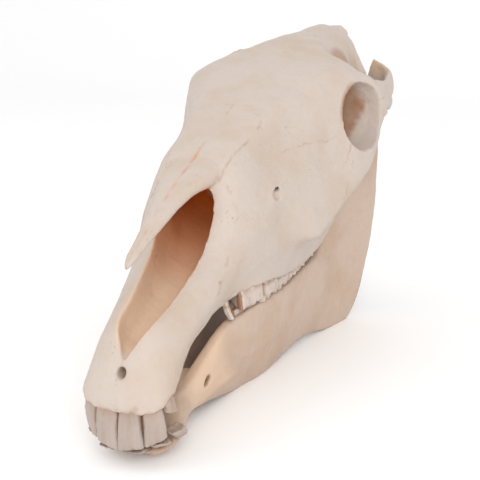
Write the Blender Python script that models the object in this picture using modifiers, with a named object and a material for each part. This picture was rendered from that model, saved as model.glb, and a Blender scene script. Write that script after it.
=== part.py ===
"""Horse skull with its lower jaw, life size, lying on the jaw's lower border.

The bones are drawn in the skull's own frame, in millimetres: x to the animal's
left, p backwards from the front of the upper gum, h upwards from the line of
the upper cheek teeth. Every rail below is a list of named stations along the
skull. The finished solids are turned by REST_TILT and lifted onto the floor:
+X is the animal's left, -Y its muzzle and +Z is up.
"""
import math

import bmesh
import bpy
import numpy as np
from mathutils import Matrix, Vector

MM = 0.001
REST_TILT = math.radians(13.1)
REST_LIFT = 54.4
KERF = 0.3
BONE_VOXEL = 2.6
CRANIUM_KEEP = 0.021
JAW_KEEP = 0.015

# Cranium rails: (p, x, h) of the lines that a face section passes through.
BROW_LINE = ((8, 0, -7), (11, 0, -3), (14, 0, 2), (22, 0, 13), (30, 0, 23), (45, 0, 29),
             (70, 0, 36), (100, 0, 44), (125, 0, 56), (145, 0, 74), (157, 0, 90), (166, 0, 108),
             (180, 0, 118.5), (220, 0, 126), (260, 0, 133), (300, 0, 139.5), (350, 0, 147), (386, 0, 150),
             (392, 0, 150))
EDGE_LINE = ((8, 8, -7.5), (11, 9, -4), (14, 10, 1), (22, 10, 12), (30, 9, 23), (38, 10, 31),
             (45, 12, 35), (58, 17, 38.5), (72, 18.5, 40.5), (96, 20, 46), (125, 22, 56), (141, 24, 70),
             (157, 25, 88), (166, 24, 101), (180, 26, 114), (220, 30, 122.5), (260, 38, 130),
             (300, 44, 136), (350, 46, 145), (386, 44, 146), (392, 43, 145))
SHOULDER_LINE = ((8, 13, -8.5), (11, 18, -6), (14, 21, -2.5), (22, 25, 5), (30, 24, 14), (45, 26, 25),
             (66, 29, 31), (80, 31, 34), (100, 33, 41), (130, 36, 54), (162, 42, 79),
             (193, 45.5, 91), (225, 45.5, 97), (260, 50, 106.5), (300, 62.5, 118), (321, 70.5, 123.7),
             (350, 80, 130), (366, 85, 128), (386, 86, 122), (392, 84, 116))
WALL_LINE = ((8, 16, -10), (11, 23, -8), (14, 27, -6), (22, 32.5, -1), (30, 33, 4), (45, 34, 11),
             (66, 34.5, 19), (80, 36, 24), (100, 38.5, 29), (130, 42.5, 38), (162, 50, 54),
             (193, 56, 66), (225, 59, 73), (260, 64, 79), (300, 73, 84), (321, 82, 90),
             (350, 95, 96), (386, 100, 92), (392, 98, 88))
CREST_LINE = ((8, 17, -11), (11, 25, -9.5), (14, 29.5, -8.5), (22, 35, -5), (30, 36.5, -4), (45, 34, -1),
             (66, 29.5, 2), (80, 28, 5), (100, 30.5, 9), (130, 38, 20), (162, 48, 28),
             (193, 56, 34), (215, 62, 34), (230, 71, 29), (239, 78.5, 24), (252, 82, 27),
             (275, 87, 35), (300, 92, 42), (345, 100, 53), (386, 97, 64), (392, 94, 68))
HOLLOW_LINE = ((8, 16.5, -12), (11, 25, -11.5), (14, 29, -11), (22, 34.5, -8.5), (30, 35.5, -7.5),
               (45, 32, -5),
               (66, 27, -3), (80, 25, 0), (100, 27, 5), (130, 34.5, 14), (162, 46, 19),
               (193, 54, 20), (215, 58, 18), (239, 61, 13), (260, 65, 13), (300, 73, 22),
               (345, 86, 37), (386, 88, 52), (392, 86, 56))
GUM_LINE = ((8, 15, -12.8), (11, 22, -13.5), (14, 26, -13.5), (22, 31, -11.5), (30, 32, -10),
            (45, 27, -7.5),
            (66, 22, -6), (80, 20, -3), (100, 22, 1), (130, 31, 9), (148, 39.5, 11), (186, 49.5, 3.5),
            (214, 51, -6), (241, 52, -14), (266, 52.5, -19), (291, 53, -22.5), (317, 52, -24),
            (338, 48, 2), (365, 44, 26), (386, 42, 38), (392, 42, 42))
LINGUAL_LINE = ((8, 8, -13.2), (11, 12, -14.5), (14, 15, -15), (22, 20, -13), (30, 20, -11), (45, 17, -7),
                (66, 13, -3), (80, 12, 0), (100, 14, 4), (130, 20, 9), (148, 24, 11), (186, 27, 6),
                (241, 31, -5), (317, 34, -14), (338, 34, 4), (365, 32, 28), (386, 30, 40), (392, 30, 44))
PALATE_LINE = ((8, 0, -13.2), (14, 0, -15), (30, 0, -9), (66, 0, 1), (100, 0, 7), (148, 0, 13),
               (241, 0, 8), (300, 0, 5), (338, 0, 20), (365, 0, 34), (386, 0, 40), (392, 0, 43))
FACE_RAILS = (BROW_LINE, EDGE_LINE, SHOULDER_LINE, WALL_LINE, CREST_LINE,
              HOLLOW_LINE, GUM_LINE, LINGUAL_LINE, PALATE_LINE)
FACE_FROM, FACE_TO = 8.0, 392.0

# Braincase rails, in the same form.
CROWN_LINE = ((352, 0, 140), (394, 0, 150.5), (430, 0, 151), (460, 0, 149), (490, 0, 146),
              (520, 0, 141), (535, 0, 137), (546, 0, 128))
TEMPLE_LINE = ((352, 26, 132), (394, 30, 137), (430, 22, 139.5), (460, 19, 139), (490, 22, 134),
               (520, 25, 128), (535, 23, 126), (546, 18, 120))
SIDE_LINE = ((352, 38, 95), (394, 43, 103), (430, 46, 101), (460, 49, 98), (490, 46, 96),
             (520, 42, 95), (535, 36, 92), (546, 26, 94))
BASE_SIDE_LINE = ((352, 30, 55), (394, 31, 58), (430, 36, 58), (460, 43, 60), (490, 51, 64),
                  (520, 45, 60), (535, 36, 62), (546, 24, 82))
BASE_LINE = ((352, 0, 36), (394, 0, 43), (430, 0, 45), (460, 0, 46), (490, 0, 46), (520, 0, 48),
             (535, 0, 54), (546, 0, 76))
BRAINCASE_RAILS = (CROWN_LINE, TEMPLE_LINE, SIDE_LINE, BASE_SIDE_LINE, BASE_LINE)
BRAINCASE_FROM, BRAINCASE_TO = 352.0, 546.0

# Flat of the forehead behind the sockets, narrowing between the temple lines.
FLAT_LINE = ((350, 0, 146.5), (386, 0, 150.5), (410, 0, 151), (435, 0, 150.5), (464, 0, 148))
FLAT_EDGE_LINE = ((350, 52, 141), (386, 50, 143), (400, 42, 144), (412, 37, 145), (435, 24, 147),
                  (464, 9, 146))
FLAT_UNDER_LINE = ((350, 50, 122), (386, 47, 126), (400, 40, 130), (412, 35, 133), (435, 22, 138),
                   (464, 7, 138))
FLAT_BASE_LINE = ((350, 0, 118), (386, 0, 122), (410, 0, 128), (435, 0, 132), (464, 0, 134))
FLAT_RAILS = (FLAT_LINE, FLAT_EDGE_LINE, FLAT_UNDER_LINE, FLAT_BASE_LINE)
FLAT_FROM, FLAT_TO = 350.0, 464.0

# Free front of the nasal bones: (p, half width, top h, thickness).
NASAL_SPIKE = ((50, 1.5, 83.5, 3), (56, 3.5, 86.5, 4), (75, 6, 92.5, 5), (95, 8.5, 98.5, 6),
               (115, 11, 104.5, 7), (135, 15, 110, 9), (152, 20, 113.5, 12), (172, 24, 116.5, 16),
               (186, 25, 119, 16), (200, 25, 120.5, 15),
               (215, 24, 122, 13))
# Nasal cavity: (p, half width, floor h, roof h).
NASAL_CAVITY = ((28, 1.6, 18.5, 34), (31, 3, 19, 46), (36, 6, 19, 60), (42, 10, 19, 68),
                (58, 14.5, 17, 74), (75, 16, 18, 80),
                (100, 19, 20, 86), (125, 21, 24, 92), (145, 23, 28, 98), (165, 24, 32, 103),
                (190, 27, 38, 108),
                (215, 28, 46, 112), (233.5, 20, 59, 107))

# Cheek arch: lower edge (x, p, h), upper edge (x, p, h), half thickness at lower edge, middle, upper edge.
ARCH_FAN = (
    ((93, 344, 54), (94, 344, 74), (7, 8, 6)),
    ((94, 366, 59), (96, 368, 88), (5, 7, 6)),
    ((93.5, 388, 65), (97, 388, 111), (4.5, 6, 5)),
    ((92, 408, 71), (98.5, 408, 112), (4.5, 5.5, 4)),
    ((91, 426, 76), (98, 424, 113), (4.5, 6.5, 4)),
    ((88, 442, 77), (95.5, 440, 115), (5, 7, 3)),
    ((82, 453, 76), (87, 451, 118), (5, 6, 2.5)),
    ((75, 461, 75), (80, 456, 120), (6, 6, 2)),
    ((69, 467, 73), (73.5, 461, 121), (6, 6, 2)),
    ((62, 472, 72), (68, 467, 102), (7, 7, 3)),
    ((54, 476, 70), (60, 473, 97), (8, 8, 4)),
    ((44, 480, 68), (50, 478, 96), (8, 8, 5)),
)
# Bar from the brow down to the cheek arch behind the eye: (x, p, h, half size along p, half size across).
BROW_BAR = ((72, 374, 129, 10, 9), (84, 379, 123, 10, 7), (92, 384, 114, 9, 5.5), (96.5, 388, 103, 9, 5),
            (98, 391, 93, 10, 5), (97, 394, 82, 11, 6))

# Shelf that widens the brow bar backwards to the cheek arch: (x, p, h, half width, half thickness).
BROW_SHELF = ((84.6, 383.2, 114.3, 10.7, 7), (87.5, 395, 111, 11.5, 7), (89, 407, 108, 10.5, 6.5), (92, 418, 105.5, 7, 5))

# Lower jaw, left half: inner end (x, p, h), outer end (x, p, h), half thickness at inner, middle, outer.
JAW_FAN = (
    ((15, 58, -31), (15, 58, -53), (7, 7, 5)),
    ((19, 80, -30), (16, 80, -60.5), (8, 8, 5)),
    ((24, 110, -20), (18, 110, -71.5), (8, 8, 5)),
    ((33, 138, -8), (19, 140, -85.5), (9, 10.5, 6)),
    ((38, 160, -9), (20, 164, -95.8), (10, 12, 6)),
    ((40, 200, -17.5), (27.5, 204, -105.3), (11, 12, 7)),
    ((41, 241, -28), (31, 243, -110), (11, 12, 7)),
    ((43, 285, -34), (36, 287, -115.5), (10, 11, 7)),
    ((46, 314, -38), (43, 320, -127.5), (9, 8, 7)),
    ((49, 330, -27), (49.5, 348, -139), (7, 6, 7)),
    ((53, 341, -3), (55.5, 374, -145.4), (6, 4.5, 7)),
    ((57, 349, 22), (63, 394, -131), (6, 4, 6.5)),
    ((60, 358, 43), (70, 405, -98), (6, 3.5, 6)),
    ((63, 371, 56), (76, 416, -62), (6, 3.5, 6)),
    ((67, 390, 58), (79, 425, -22), (5, 4, 6)),
    ((69, 410, 57), (79, 436, 16), (5, 5, 6)),
    ((70, 432, 55), (75, 448, 50), (6, 7, 7)),
)
# Coronoid process as a fan: front end, rear end, half thickness.
CORONOID_FAN = (
    ((64, 385, 50), (73, 420, 48), (5, 4, 4)),
    ((66, 400, 74), (72, 424, 70), (4, 4, 3)),
    ((68, 410, 92), (71, 428, 88), (3.5, 3.5, 3)),
    ((68, 418, 104), (69, 430, 102), (3, 3, 2)),
)
CONDYLE = (69, 446, 59, 17, 8.5, 8.5)
# Front of the jaw that carries the lower incisors: (p, half width, top h, bottom h).
CHIN = ((19, 22, -50, -56), (25, 27, -47, -57.5), (33, 31, -42, -58), (45, 32.5, -35, -58),
        (60, 28, -30, -60),
        (76, 25, -30, -63),
        (92, 25, -31, -66),
        (106, 24, -36, -70))
# Teeth. Cheek teeth run back from CHEEK_FROM, one length each.
CHEEK_FROM = 148.0
CHEEK_LENGTHS = (36, 29, 27, 24.5, 25, 27)
BITE_LINE = ((148, -2), (186, -8), (214, -14), (241, -20), (266, -24), (291, -27), (317, -30))
LOWER_CROWN = 8.0
BITE_GAP = 0.5
TOOTH_ROOT = 8.0
UPPER_WIDTH = 24.0
LOWER_WIDTH = 15.0
LOWER_INSET = 7.0
FIRST_TAPER = 0.62
FIRST_OUTER = 45.6
FIRST_SWING = 4.0
ROOT_IN = 3.0
# Incisors, left side: root (x, p, h), tip (x, p, h), (width, depth) at root and at tip, turn in degrees.
UPPER_INCISORS = (
    ((9.6, 17.5, -5), (9.6, 4.5, -40), (17, 8), (18.4, 9), 3),
    ((25.3, 21, -5), (26, 13, -37), (12.5, 8), (14.5, 9), 30),
    ((34, 28.5, 0), (35, 26, -19), (10, 7), (11, 7), 72),
)
LOWER_INCISORS = (
    ((8.2, 27, -54), (9.2, 6.5, -41.5), (14, 9), (17.2, 8), 2),
    ((21.5, 33, -52), (25.6, 15.5, -40), (11.5, 9), (14, 8), 30),
    ((28, 42, -48), (32.6, 27.5, -33), (9, 8), (10, 8), 62),
)
WOLF_TOOTH = ((30.5, 140, 12), (35, 138.5, -5), (5, 5), (4, 4), 0)

# Borders of the bones. Nose roof: (p, half width, lowest h).
NOSE_AREA = ((30, 25, 58), (70, 25, 70), (100, 24, 80), (130, 23, 89), (150, 23, 96), (161, 23.4, 101),
             (170, 25, 101), (180, 27, 101), (200, 30, 100), (222, 33, 99), (236, 34, 98), (250, 27, 98),
             (262, 14, 98))
AREA_SIDE = 140.0
AREA_TOP = 220.0
# Side outlines, as (p, h) corners.
INCISOR_AREA = ((-20, -70), (60, -70), (60, -12), (64, 0), (84, 12), (104, 28), (128, 46), (148, 64),
                (160, 80),
                (167, 98), (160, 100), (148, 94), (130, 86), (100, 74), (30, 56), (-20, 56))
BROW_AREA = ((236, 98), (262, 98), (300, 90), (330, 87.5), (352, 96.8), (376, 103), (402, 103), (404, 120),
             (440, 138), (440, 200), (236, 200))
CHEEK_AREA = ((331.5, 87), (304, 62), (290, 38), (300, 20), (500, 20), (500, 172), (440, 138), (404, 120),
              (402, 103), (376, 103), (352, 96.8))
CHEEK_INNER = 59.0
UPPER_JAW_AREA = ((20, -70), (331, -70), (331, -20), (322, 20), (316, 60), (330, 88), (331, 95), (300, 104),
                  (262, 110), (262, 140), (20, 140))
JAW_FRONT_END = 88.0
JAW_HALF_AREA = ((-50, -300), (600, -300), (600, 200), (-50, 200))
JAW_HALF_SIDE = 200.0
JAW_FRONT_AREA = ((-40, -90), (JAW_FRONT_END, -90), (JAW_FRONT_END, 20), (-40, 20))
JAW_FRONT_SIDE = 90.0
FRONT_BULGE = 1.6
UPPER_OUTER = 41.0
OUTER_SLOPE = 0.36
OUTER_MOST = 51.0
LOWER_FORWARD = 3.0

IVORY = (0.80, 0.72, 0.62)
JAW_TAN = (0.76, 0.66, 0.55)


def smooth(knots, at):
    """Values of a smooth curve, with no overshoot, through (station, value, ...) knots."""
    table = np.asarray(knots, float)
    s, v = table[:, 0], table[:, 1:]
    step = np.diff(s)
    slope = np.diff(v, axis=0) / step[:, None]
    tangent = np.zeros_like(v)
    before, after = slope[:-1], slope[1:]
    same = before * after > 0
    w1 = (2 * step[1:] + step[:-1])[:, None]
    w2 = (step[1:] + 2 * step[:-1])[:, None]
    with np.errstate(divide="ignore", invalid="ignore"):
        mean = (w1 + w2) / (w1 / before + w2 / after)
    tangent[1:-1] = np.where(same, mean, 0.0)
    tangent[0], tangent[-1] = slope[0], slope[-1]
    at = np.clip(np.atleast_1d(np.asarray(at, float)), s[0], s[-1])
    i = np.clip(np.searchsorted(s, at, side="right") - 1, 0, len(s) - 2)
    h = step[i][:, None]
    t = ((at - s[i]) / step[i])[:, None]
    return ((2 * t**3 - 3 * t**2 + 1) * v[i] + (t**3 - 2 * t**2 + t) * h * tangent[i]
            + (3 * t**2 - 2 * t**3) * v[i + 1] + (t**3 - t**2) * h * tangent[i + 1])


def closed_curve(points, per_side):
    """A closed curve through 2-D points, sampled per_side times between each two."""
    loop = np.vstack([points[-3:], points, points[:3]])
    gaps = np.sqrt(np.linalg.norm(np.diff(loop, axis=0), axis=1)) + 1e-6
    s = np.concatenate([[0], np.cumsum(gaps)])
    first, last = 3, 3 + len(points)
    at = np.concatenate([np.linspace(s[i], s[i + 1], per_side, endpoint=False)
                         for i in range(first, last)])
    return smooth(np.column_stack([s, loop]), at)


def to_world(points):
    """Skull-frame millimetres to world metres."""
    x, p, h = np.asarray(points, float).reshape(-1, 3).T
    c, s = math.cos(REST_TILT), math.sin(REST_TILT)
    return np.column_stack([x, p * c - h * s, p * s + h * c + REST_LIFT]) * MM


def mesh_object(name, points, faces):
    """A mesh object with its faces turned outwards."""
    mesh = bpy.data.meshes.new(name)
    mesh.from_pydata([tuple(p) for p in to_world(points)], [], faces)
    shape = bmesh.new()
    shape.from_mesh(mesh)
    bmesh.ops.recalc_face_normals(shape, faces=shape.faces)
    shape.to_mesh(mesh)
    shape.free()
    item = bpy.data.objects.new(name, mesh)
    bpy.context.scene.collection.objects.link(item)
    return item


def loft(name, rings):
    """A closed solid through equal rings of 3-D points, with flat ends."""
    count, size = len(rings), len(rings[0])
    faces = []
    for i in range(count - 1):
        for j in range(size):
            k = (j + 1) % size
            faces.append((i * size + j, i * size + k, (i + 1) * size + k, (i + 1) * size + j))
    faces.append(tuple(range(size)))
    faces.append(tuple((count - 1) * size + j for j in range(size)))
    return mesh_object(name, np.vstack(rings), faces)


def rail_loft(name, rails, start, end, step, per_side):
    """A loft whose sections pass through the rails, mirrored about the midline."""
    rings = []
    for p in np.linspace(start, end, int((end - start) / step) + 1):
        left = np.array([smooth(rail, p)[0] for rail in rails])
        right = left[-2:0:-1] * (-1, 1)
        section = closed_curve(np.vstack([left, right]), per_side)
        rings.append(np.column_stack([section[:, 0], np.full(len(section), p), section[:, 1]]))
    return loft(name, rings)


def oval(centre, across, up, power=2.0, sides=20):
    """A ring about centre with two half-axis vectors; a higher power is squarer."""
    turn = np.linspace(0, 2 * math.pi, sides, endpoint=False)
    c, s = np.cos(turn), np.sin(turn)
    c = np.sign(c) * np.abs(c) ** (2 / power)
    s = np.sign(s) * np.abs(s) ** (2 / power)
    return np.asarray(centre, float) + np.outer(c, across) + np.outer(s, up)


def tube(name, stations, power=2.0, sides=20, mirror=1):
    """A loft of ovals: (centre, across vector, up vector) at each station."""
    flip = np.array([mirror, 1, 1])
    rings = [oval(np.array(c) * flip, np.array(a) * flip, np.array(u) * flip, power, sides)
             for c, a, u in stations]
    return loft(name, rings)


def ball(name, centre, radii, turn=0.0, mirror=1):
    """An ellipsoid, turned about the vertical axis by turn degrees."""
    shape = bmesh.new()
    bmesh.ops.create_uvsphere(shape, u_segments=24, v_segments=14, radius=1.0)
    flip = Matrix.Diagonal((mirror, 1, 1, 1))
    spot = Matrix.Translation(Vector(centre))
    move = flip @ spot @ Matrix.Rotation(math.radians(turn), 4, "Z") @ Matrix.Diagonal((*radii, 1))
    bmesh.ops.transform(shape, matrix=move, verts=shape.verts)
    points = [tuple(v.co) for v in shape.verts]
    faces = [tuple(v.index for v in f.verts) for f in shape.faces]
    shape.free()
    return mesh_object(name, points, faces)


def resample(stations, count):
    """More stations along a table, by a smooth curve through its rows."""
    table = np.array([np.hstack(row) for row in stations], float)
    steps = np.arange(len(table))
    return smooth(np.column_stack([steps, table]), np.linspace(0, len(table) - 1, count))


def fan(name, stations, mirror=1, count=60, sides=28):
    """A plate that turns a corner: inner end, outer end and half thickness at each station."""
    rows = resample(stations, count)
    turn = np.linspace(0, 2 * math.pi, sides, endpoint=False)
    along = (1 - np.cos(turn)) / 2
    side = np.sign(np.sin(turn)) * np.abs(np.sin(turn)) ** 0.55
    rings = []
    for row in rows:
        inner, outer, (t0, t1, t2) = row[:3], row[3:6], row[6:9]
        thick = np.where(along < 0.5, t0 + (t1 - t0) * along * 2, t1 + (t2 - t1) * (along * 2 - 1))
        ring = inner + np.outer(along, outer - inner)
        ring[:, 0] += side * thick
        ring[:, 0] *= mirror
        rings.append(ring)
    return loft(name, rings)


def apply_modifiers(item):
    """Replace an object's mesh by its evaluated one."""
    graph = bpy.context.evaluated_depsgraph_get()
    mesh = bpy.data.meshes.new_from_object(item.evaluated_get(graph))
    old = item.data
    item.modifiers.clear()
    item.data = mesh
    bpy.data.meshes.remove(old)


def boolean(target, others, operation, thinned=True):
    """Join the others to the target, cut them out of it or keep what they share."""
    for other in others:
        step = target.modifiers.new("cut", "BOOLEAN")
        step.operation = operation
        step.solver = "EXACT"
        step.use_self = thinned
        step.object = other
        apply_modifiers(target)
        bpy.data.objects.remove(other)
    return target


def join(target, others):
    return boolean(target, others, "UNION", False)


def carve(target, others):
    return boolean(target, others, "DIFFERENCE", False)


def soften(item, voxel, rounds, keep):
    """One skin over the joined forms, its edges rounded as in bone, then thinned."""
    skin = item.modifiers.new("skin", "REMESH")
    skin.mode = "VOXEL"
    skin.voxel_size = voxel * MM
    ease = item.modifiers.new("ease", "SMOOTH")
    ease.factor = 0.5
    ease.iterations = rounds
    thin = item.modifiers.new("thin", "DECIMATE")
    thin.ratio = keep
    apply_modifiers(item)
    return item


def duplicate(item, name):
    copy = bpy.data.objects.new(name, item.data.copy())
    bpy.context.scene.collection.objects.link(copy)
    return copy


def prism(name, outline, low_x, high_x):
    """A solid over an outline of (p, h) corners, from low_x to high_x."""
    rings = [[(x, p, h) for p, h in outline] for x in (low_x, high_x)]
    return loft(name, rings)


def grown(outline, by):
    """The outline moved outwards by a small distance."""
    corners = np.asarray(outline, float)
    ahead = np.roll(corners, -1, axis=0) - corners
    area = np.sum(corners[:, 0] * np.roll(corners[:, 1], -1) - corners[:, 1] * np.roll(corners[:, 0], -1))
    normal = np.column_stack([ahead[:, 1], -ahead[:, 0]]) * np.sign(area)
    normal /= np.linalg.norm(normal, axis=1)[:, None]
    before = np.roll(normal, 1, axis=0)
    return corners + by * (normal + before) / (1 + np.sum(normal * before, axis=1))[:, None]


def both(make, *args):
    return [make(*args, mirror=side) for side in (1, -1)]


# --- cranium -------------------------------------------------------------

def nasal_roof():
    rows = smooth(NASAL_SPIKE, np.linspace(NASAL_SPIKE[0][0], NASAL_SPIKE[-1][0], 24))
    places = np.linspace(NASAL_SPIKE[0][0], NASAL_SPIKE[-1][0], 24)
    spots = [((0, p, top - thick / 2 - wide * 0.12), (wide, 0, 0), (0, 0, thick / 2 + wide * 0.12))
             for p, (wide, top, thick) in zip(places, rows)]
    return tube("nasal_roof", spots, 2.3, 24)


def nasal_cavity():
    places = np.linspace(NASAL_CAVITY[0][0], NASAL_CAVITY[-1][0], 26)
    rows = smooth(NASAL_CAVITY, places)
    spots = [((0, p, (low + high) / 2), (wide, 0, 0), (0, 0, (high - low) / 2))
             for p, (wide, low, high) in zip(places, rows)]
    return tube("nasal_cavity", spots, 2.8, 28)


def brow_bar(mirror=1):
    rows = resample(BROW_BAR, 20)
    spots = [((x, p, h), (sx, 0, sx * 0.3), (0, sp, 0)) for x, p, h, sp, sx in rows]
    return tube("brow_bar", spots, 2.2, 18, mirror)


def brow_shelf(mirror=1):
    spots = [((x, p, h), (w, 0, 0), (0, 0, t)) for x, p, h, w, t in resample(BROW_SHELF, 8)]
    return tube("brow_shelf", spots, 2.6, 16, mirror)


def eye_socket(mirror=1):
    """The socket opens forwards and outwards and narrows backwards to its depth."""
    stations = (((132, 339, 104), 36, 36), ((112, 345, 100), 32, 33), ((93, 352, 97), 28.5, 30.5),
                ((80, 353, 96), 28, 29.5), ((66, 354, 95), 25, 26), ((54, 355, 93), 19, 20),
                ((45, 356, 91), 10, 11))
    spots = [(c, (0.33 * a, a, 0), (0, 0.12 * b, b)) for c, a, b in stations]
    return tube("eye_socket", spots, 2.2, 28, mirror)


def temple_space(mirror=1):
    """Open space between the braincase, the brow bar and the cheek arch."""
    stations = (((69, 424, 200), 24, 30), ((69, 424, 140), 24, 30), ((69, 424, 110), 23, 33),
                ((68, 424, 80), 22, 34), ((68, 422, 20), 22, 36))
    spots = [(c, (a, 0, 0), (0, b, 0)) for c, a, b in stations]
    return tube("temple_space", spots, 2.6, 24, mirror)


def under_cheek(mirror=1):
    """Space below the cheek arch, beside the wings of the palate, where the jaw passes."""
    outline = ((326, -60), (326, -5), (333, 25), (345, 42), (366, 54), (400, 66), (426, 71), (456, 71),
               (462, 40), (462, -60))
    return prism("under_cheek", outline, *sorted((mirror * 47.0, mirror * 130.0)))


def cheek_hollow(mirror=1):
    """Hollow inside the cheek arch, open downwards behind the eye socket."""
    outline = ((340, 20), (346, 44), (358, 58), (372, 64), (384, 66), (394, 90), (430, 95), (440, 71),
               (455, 70),
               (455, 20))
    return prism("cheek_hollow", outline, *sorted((mirror * 47.0, mirror * 85.5)))


def inner_passage():
    """Passage above the back of the palate, open downwards behind it."""
    spots = [((0, p, h), (w, 0, 0), (0, 0, r)) for p, h, w, r in
             ((296, 44, 17, 12), (316, 40, 20, 22), (340, 20, 22, 40), (370, 4, 20, 42),
              (392, -16, 16, 42))]
    return tube("inner_passage", spots, 2.6, 22)


def side_trim(mirror=1):
    """Clears the side below the cheek arch from the last tooth back to the ear."""
    outline = ((372, -60), (372, 20), (392, 44), (402, 61), (462, 61), (470, 40), (470, -60))
    return prism("side_trim", outline, *sorted((mirror * 33.0, mirror * 60.0)))


def small_openings():
    cutters = []
    for side in (1, -1):
        cutters.append(tube("cheek_foramen", (((66, 196, 75.5), (0, 1.2, 5), (4.5, 4.5, 0)),
                                              ((52, 222, 77), (0, 1.2, 5), (4.5, 4.5, 0)),
                                              ((46, 232, 77), (0, 1.0, 3), (2.5, 2.5, 0))), 2, 14, side))
        cutters.append(ball("ear_passage", (66, 478, 72), (14, 5, 5), mirror=side))
    cutters.append(tube("spinal_opening", (((0, 575, 78), (18, 0, 0), (0, 0, 17)),
                                           ((0, 540, 76), (18, 0, 0), (0, 0, 17)),
                                           ((0, 505, 78), (15, 0, 0), (0, 0, 15))), 2.2, 22))
    cutters.append(tube("incisor_foramen", (((0, 14, 15), (4, 0, 0), (0, 1.5, 4.5)),
                                            ((0, 34, 8), (3.5, 0, 0), (0, 1.5, 4))), 2, 14))
    return cutters


def temple_crest(mirror=1):
    """Ridge from the corner of the nape down to the root of the cheek arch."""
    line = (((21.4, 537.3, 119.3), 5.2, 6.6), ((30.6, 522.7, 116.2), 4.7, 6.5), ((41, 503, 109), 4.5, 6.5),
            ((50, 487, 102), 5, 7), ((56, 477, 95), 6, 7))
    spots = [(c, (0.88 * a, 0.48 * a, 0), (0, 0, b)) for c, a, b in line]
    return tube("temple_crest", spots, 2.2, 16, mirror)


def base_parts():
    parts = []
    for side in (1, -1):
        parts.append(ball("condyle", (25, 537, 60), (15, 15, 20), 25, side))
        parts.append(tube("jugular_process", (((43, 506, 72), (13, 0, 0), (0, 13, 0)),
                                              ((47, 507, 45), (7, 0, 0), (0, 12, 0)),
                                              ((49, 506, 20), (5, 0, 0), (0, 9, 0)),
                                              ((49, 503, -4), (2.5, 0, 0), (0, 4, 0))), 2.2, 18, side))
        parts.append(ball("ear_base", (55, 480, 74), (14, 14, 15), 0, side))
        parts.append(tube("palate_wing", (((31, 312, 14), (6, 0, 0), (0, 0, 24)),
                                          ((29, 335, 26), (4, 0, 0), (0, 0, 26)),
                                          ((27, 362, 34), (3.5, 0, 0), (0, 0, 27)),
                                          ((24.3, 387, 46.3), (4, 0, 0), (0, 0, 13))), 2.4, 18, side))
        parts.append(tube("jaw_seat", (((56, 452.3, 80.2), (0, 15, 0), (0, 0, 9)),
                                       ((78, 449.7, 79.3), (0, 13, 0), (0, 0, 8)),
                                       ((95.6, 441.6, 80.4), (0, 9, 0), (0, 0, 7))), 2.2, 18, side))
    parts.append(tube("nape_crest", (((-23, 539, 122), (0, 6, 0), (0, 0, 7)),
                                     ((-15, 542, 127), (0, 6, 0), (0, 0, 8)),
                                     ((0, 543, 127), (0, 6, 0), (0, 0, 7)), ((15, 542, 127), (0, 6, 0),
                                                                             (0, 0, 8)),
                                     ((23, 539, 122), (0, 6, 0), (0, 0, 7))), 2.2, 18))
    return parts


def cranium():
    skull = rail_loft("cranium", FACE_RAILS, FACE_FROM, FACE_TO, 9, 4)
    join(skull, [nasal_roof()])
    join(skull, both(lambda mirror: fan("arch", ARCH_FAN, mirror, 40, 18)) + both(brow_bar))
    carve(skull, both(under_cheek) + both(cheek_hollow) + both(side_trim))
    carve(skull, both(eye_socket) + both(temple_space))
    join(skull, both(brow_shelf))
    join(skull, [rail_loft("flat", FLAT_RAILS, FLAT_FROM, FLAT_TO, 8, 4)])
    join(skull, [rail_loft("braincase", BRAINCASE_RAILS, BRAINCASE_FROM, BRAINCASE_TO, 9, 5)])
    join(skull, both(temple_crest) + base_parts())
    carve(skull, [nasal_cavity(), inner_passage()] + small_openings())
    return soften(skull, BONE_VOXEL, 6, CRANIUM_KEEP)


# --- lower jaw -----------------------------------------------------------

def lower_jaw():
    places = np.linspace(CHIN[0][0], CHIN[-1][0], 14)
    spots = [((0, p, (top + low) / 2), (wide, 0, 0), (0, 0, (top - low) / 2))
             for p, (wide, top, low) in zip(places, smooth(CHIN, places))]
    jaw = tube("jaw", spots, 2.6, 28)
    join(jaw, both(lambda mirror: fan("body", JAW_FAN, mirror)))
    join(jaw, both(lambda mirror: fan("coronoid", CORONOID_FAN, mirror, 16, 18)))
    x, p, h, rx, rp, rh = CONDYLE
    join(jaw, both(lambda mirror: ball("condyle", (x, p, h), (rx, rp, rh), 12, mirror)))
    gap = tube("tongue_space", (((0, 99, -46), (4, 0, 0), (0, 0, 34)), ((0, 116, -46), (12, 0, 0),
                                                                        (0, 0, 60)),
                                ((0, 150, -46), (14, 0, 0), (0, 0, 70))), 2.4, 22)
    carve(jaw, [gap])
    for side in (1, -1):
        carve(jaw, [tube("chin_foramen", (((42, 91, -38), (0, 7, 0), (0, 1, 5.2)),
                                          ((14, 107, -46), (0, 5.6, 0), (0, 1, 4.6))), 2, 14, side)])
    return soften(jaw, BONE_VOXEL, 5, JAW_KEEP)


# --- teeth ---------------------------------------------------------------

def gum_height(p):
    rail = np.array(GUM_LINE)
    return smooth(rail[:, [0, 2]], p)[0][0]


def bite_height(p):
    return smooth(BITE_LINE, p)[0][0]


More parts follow.
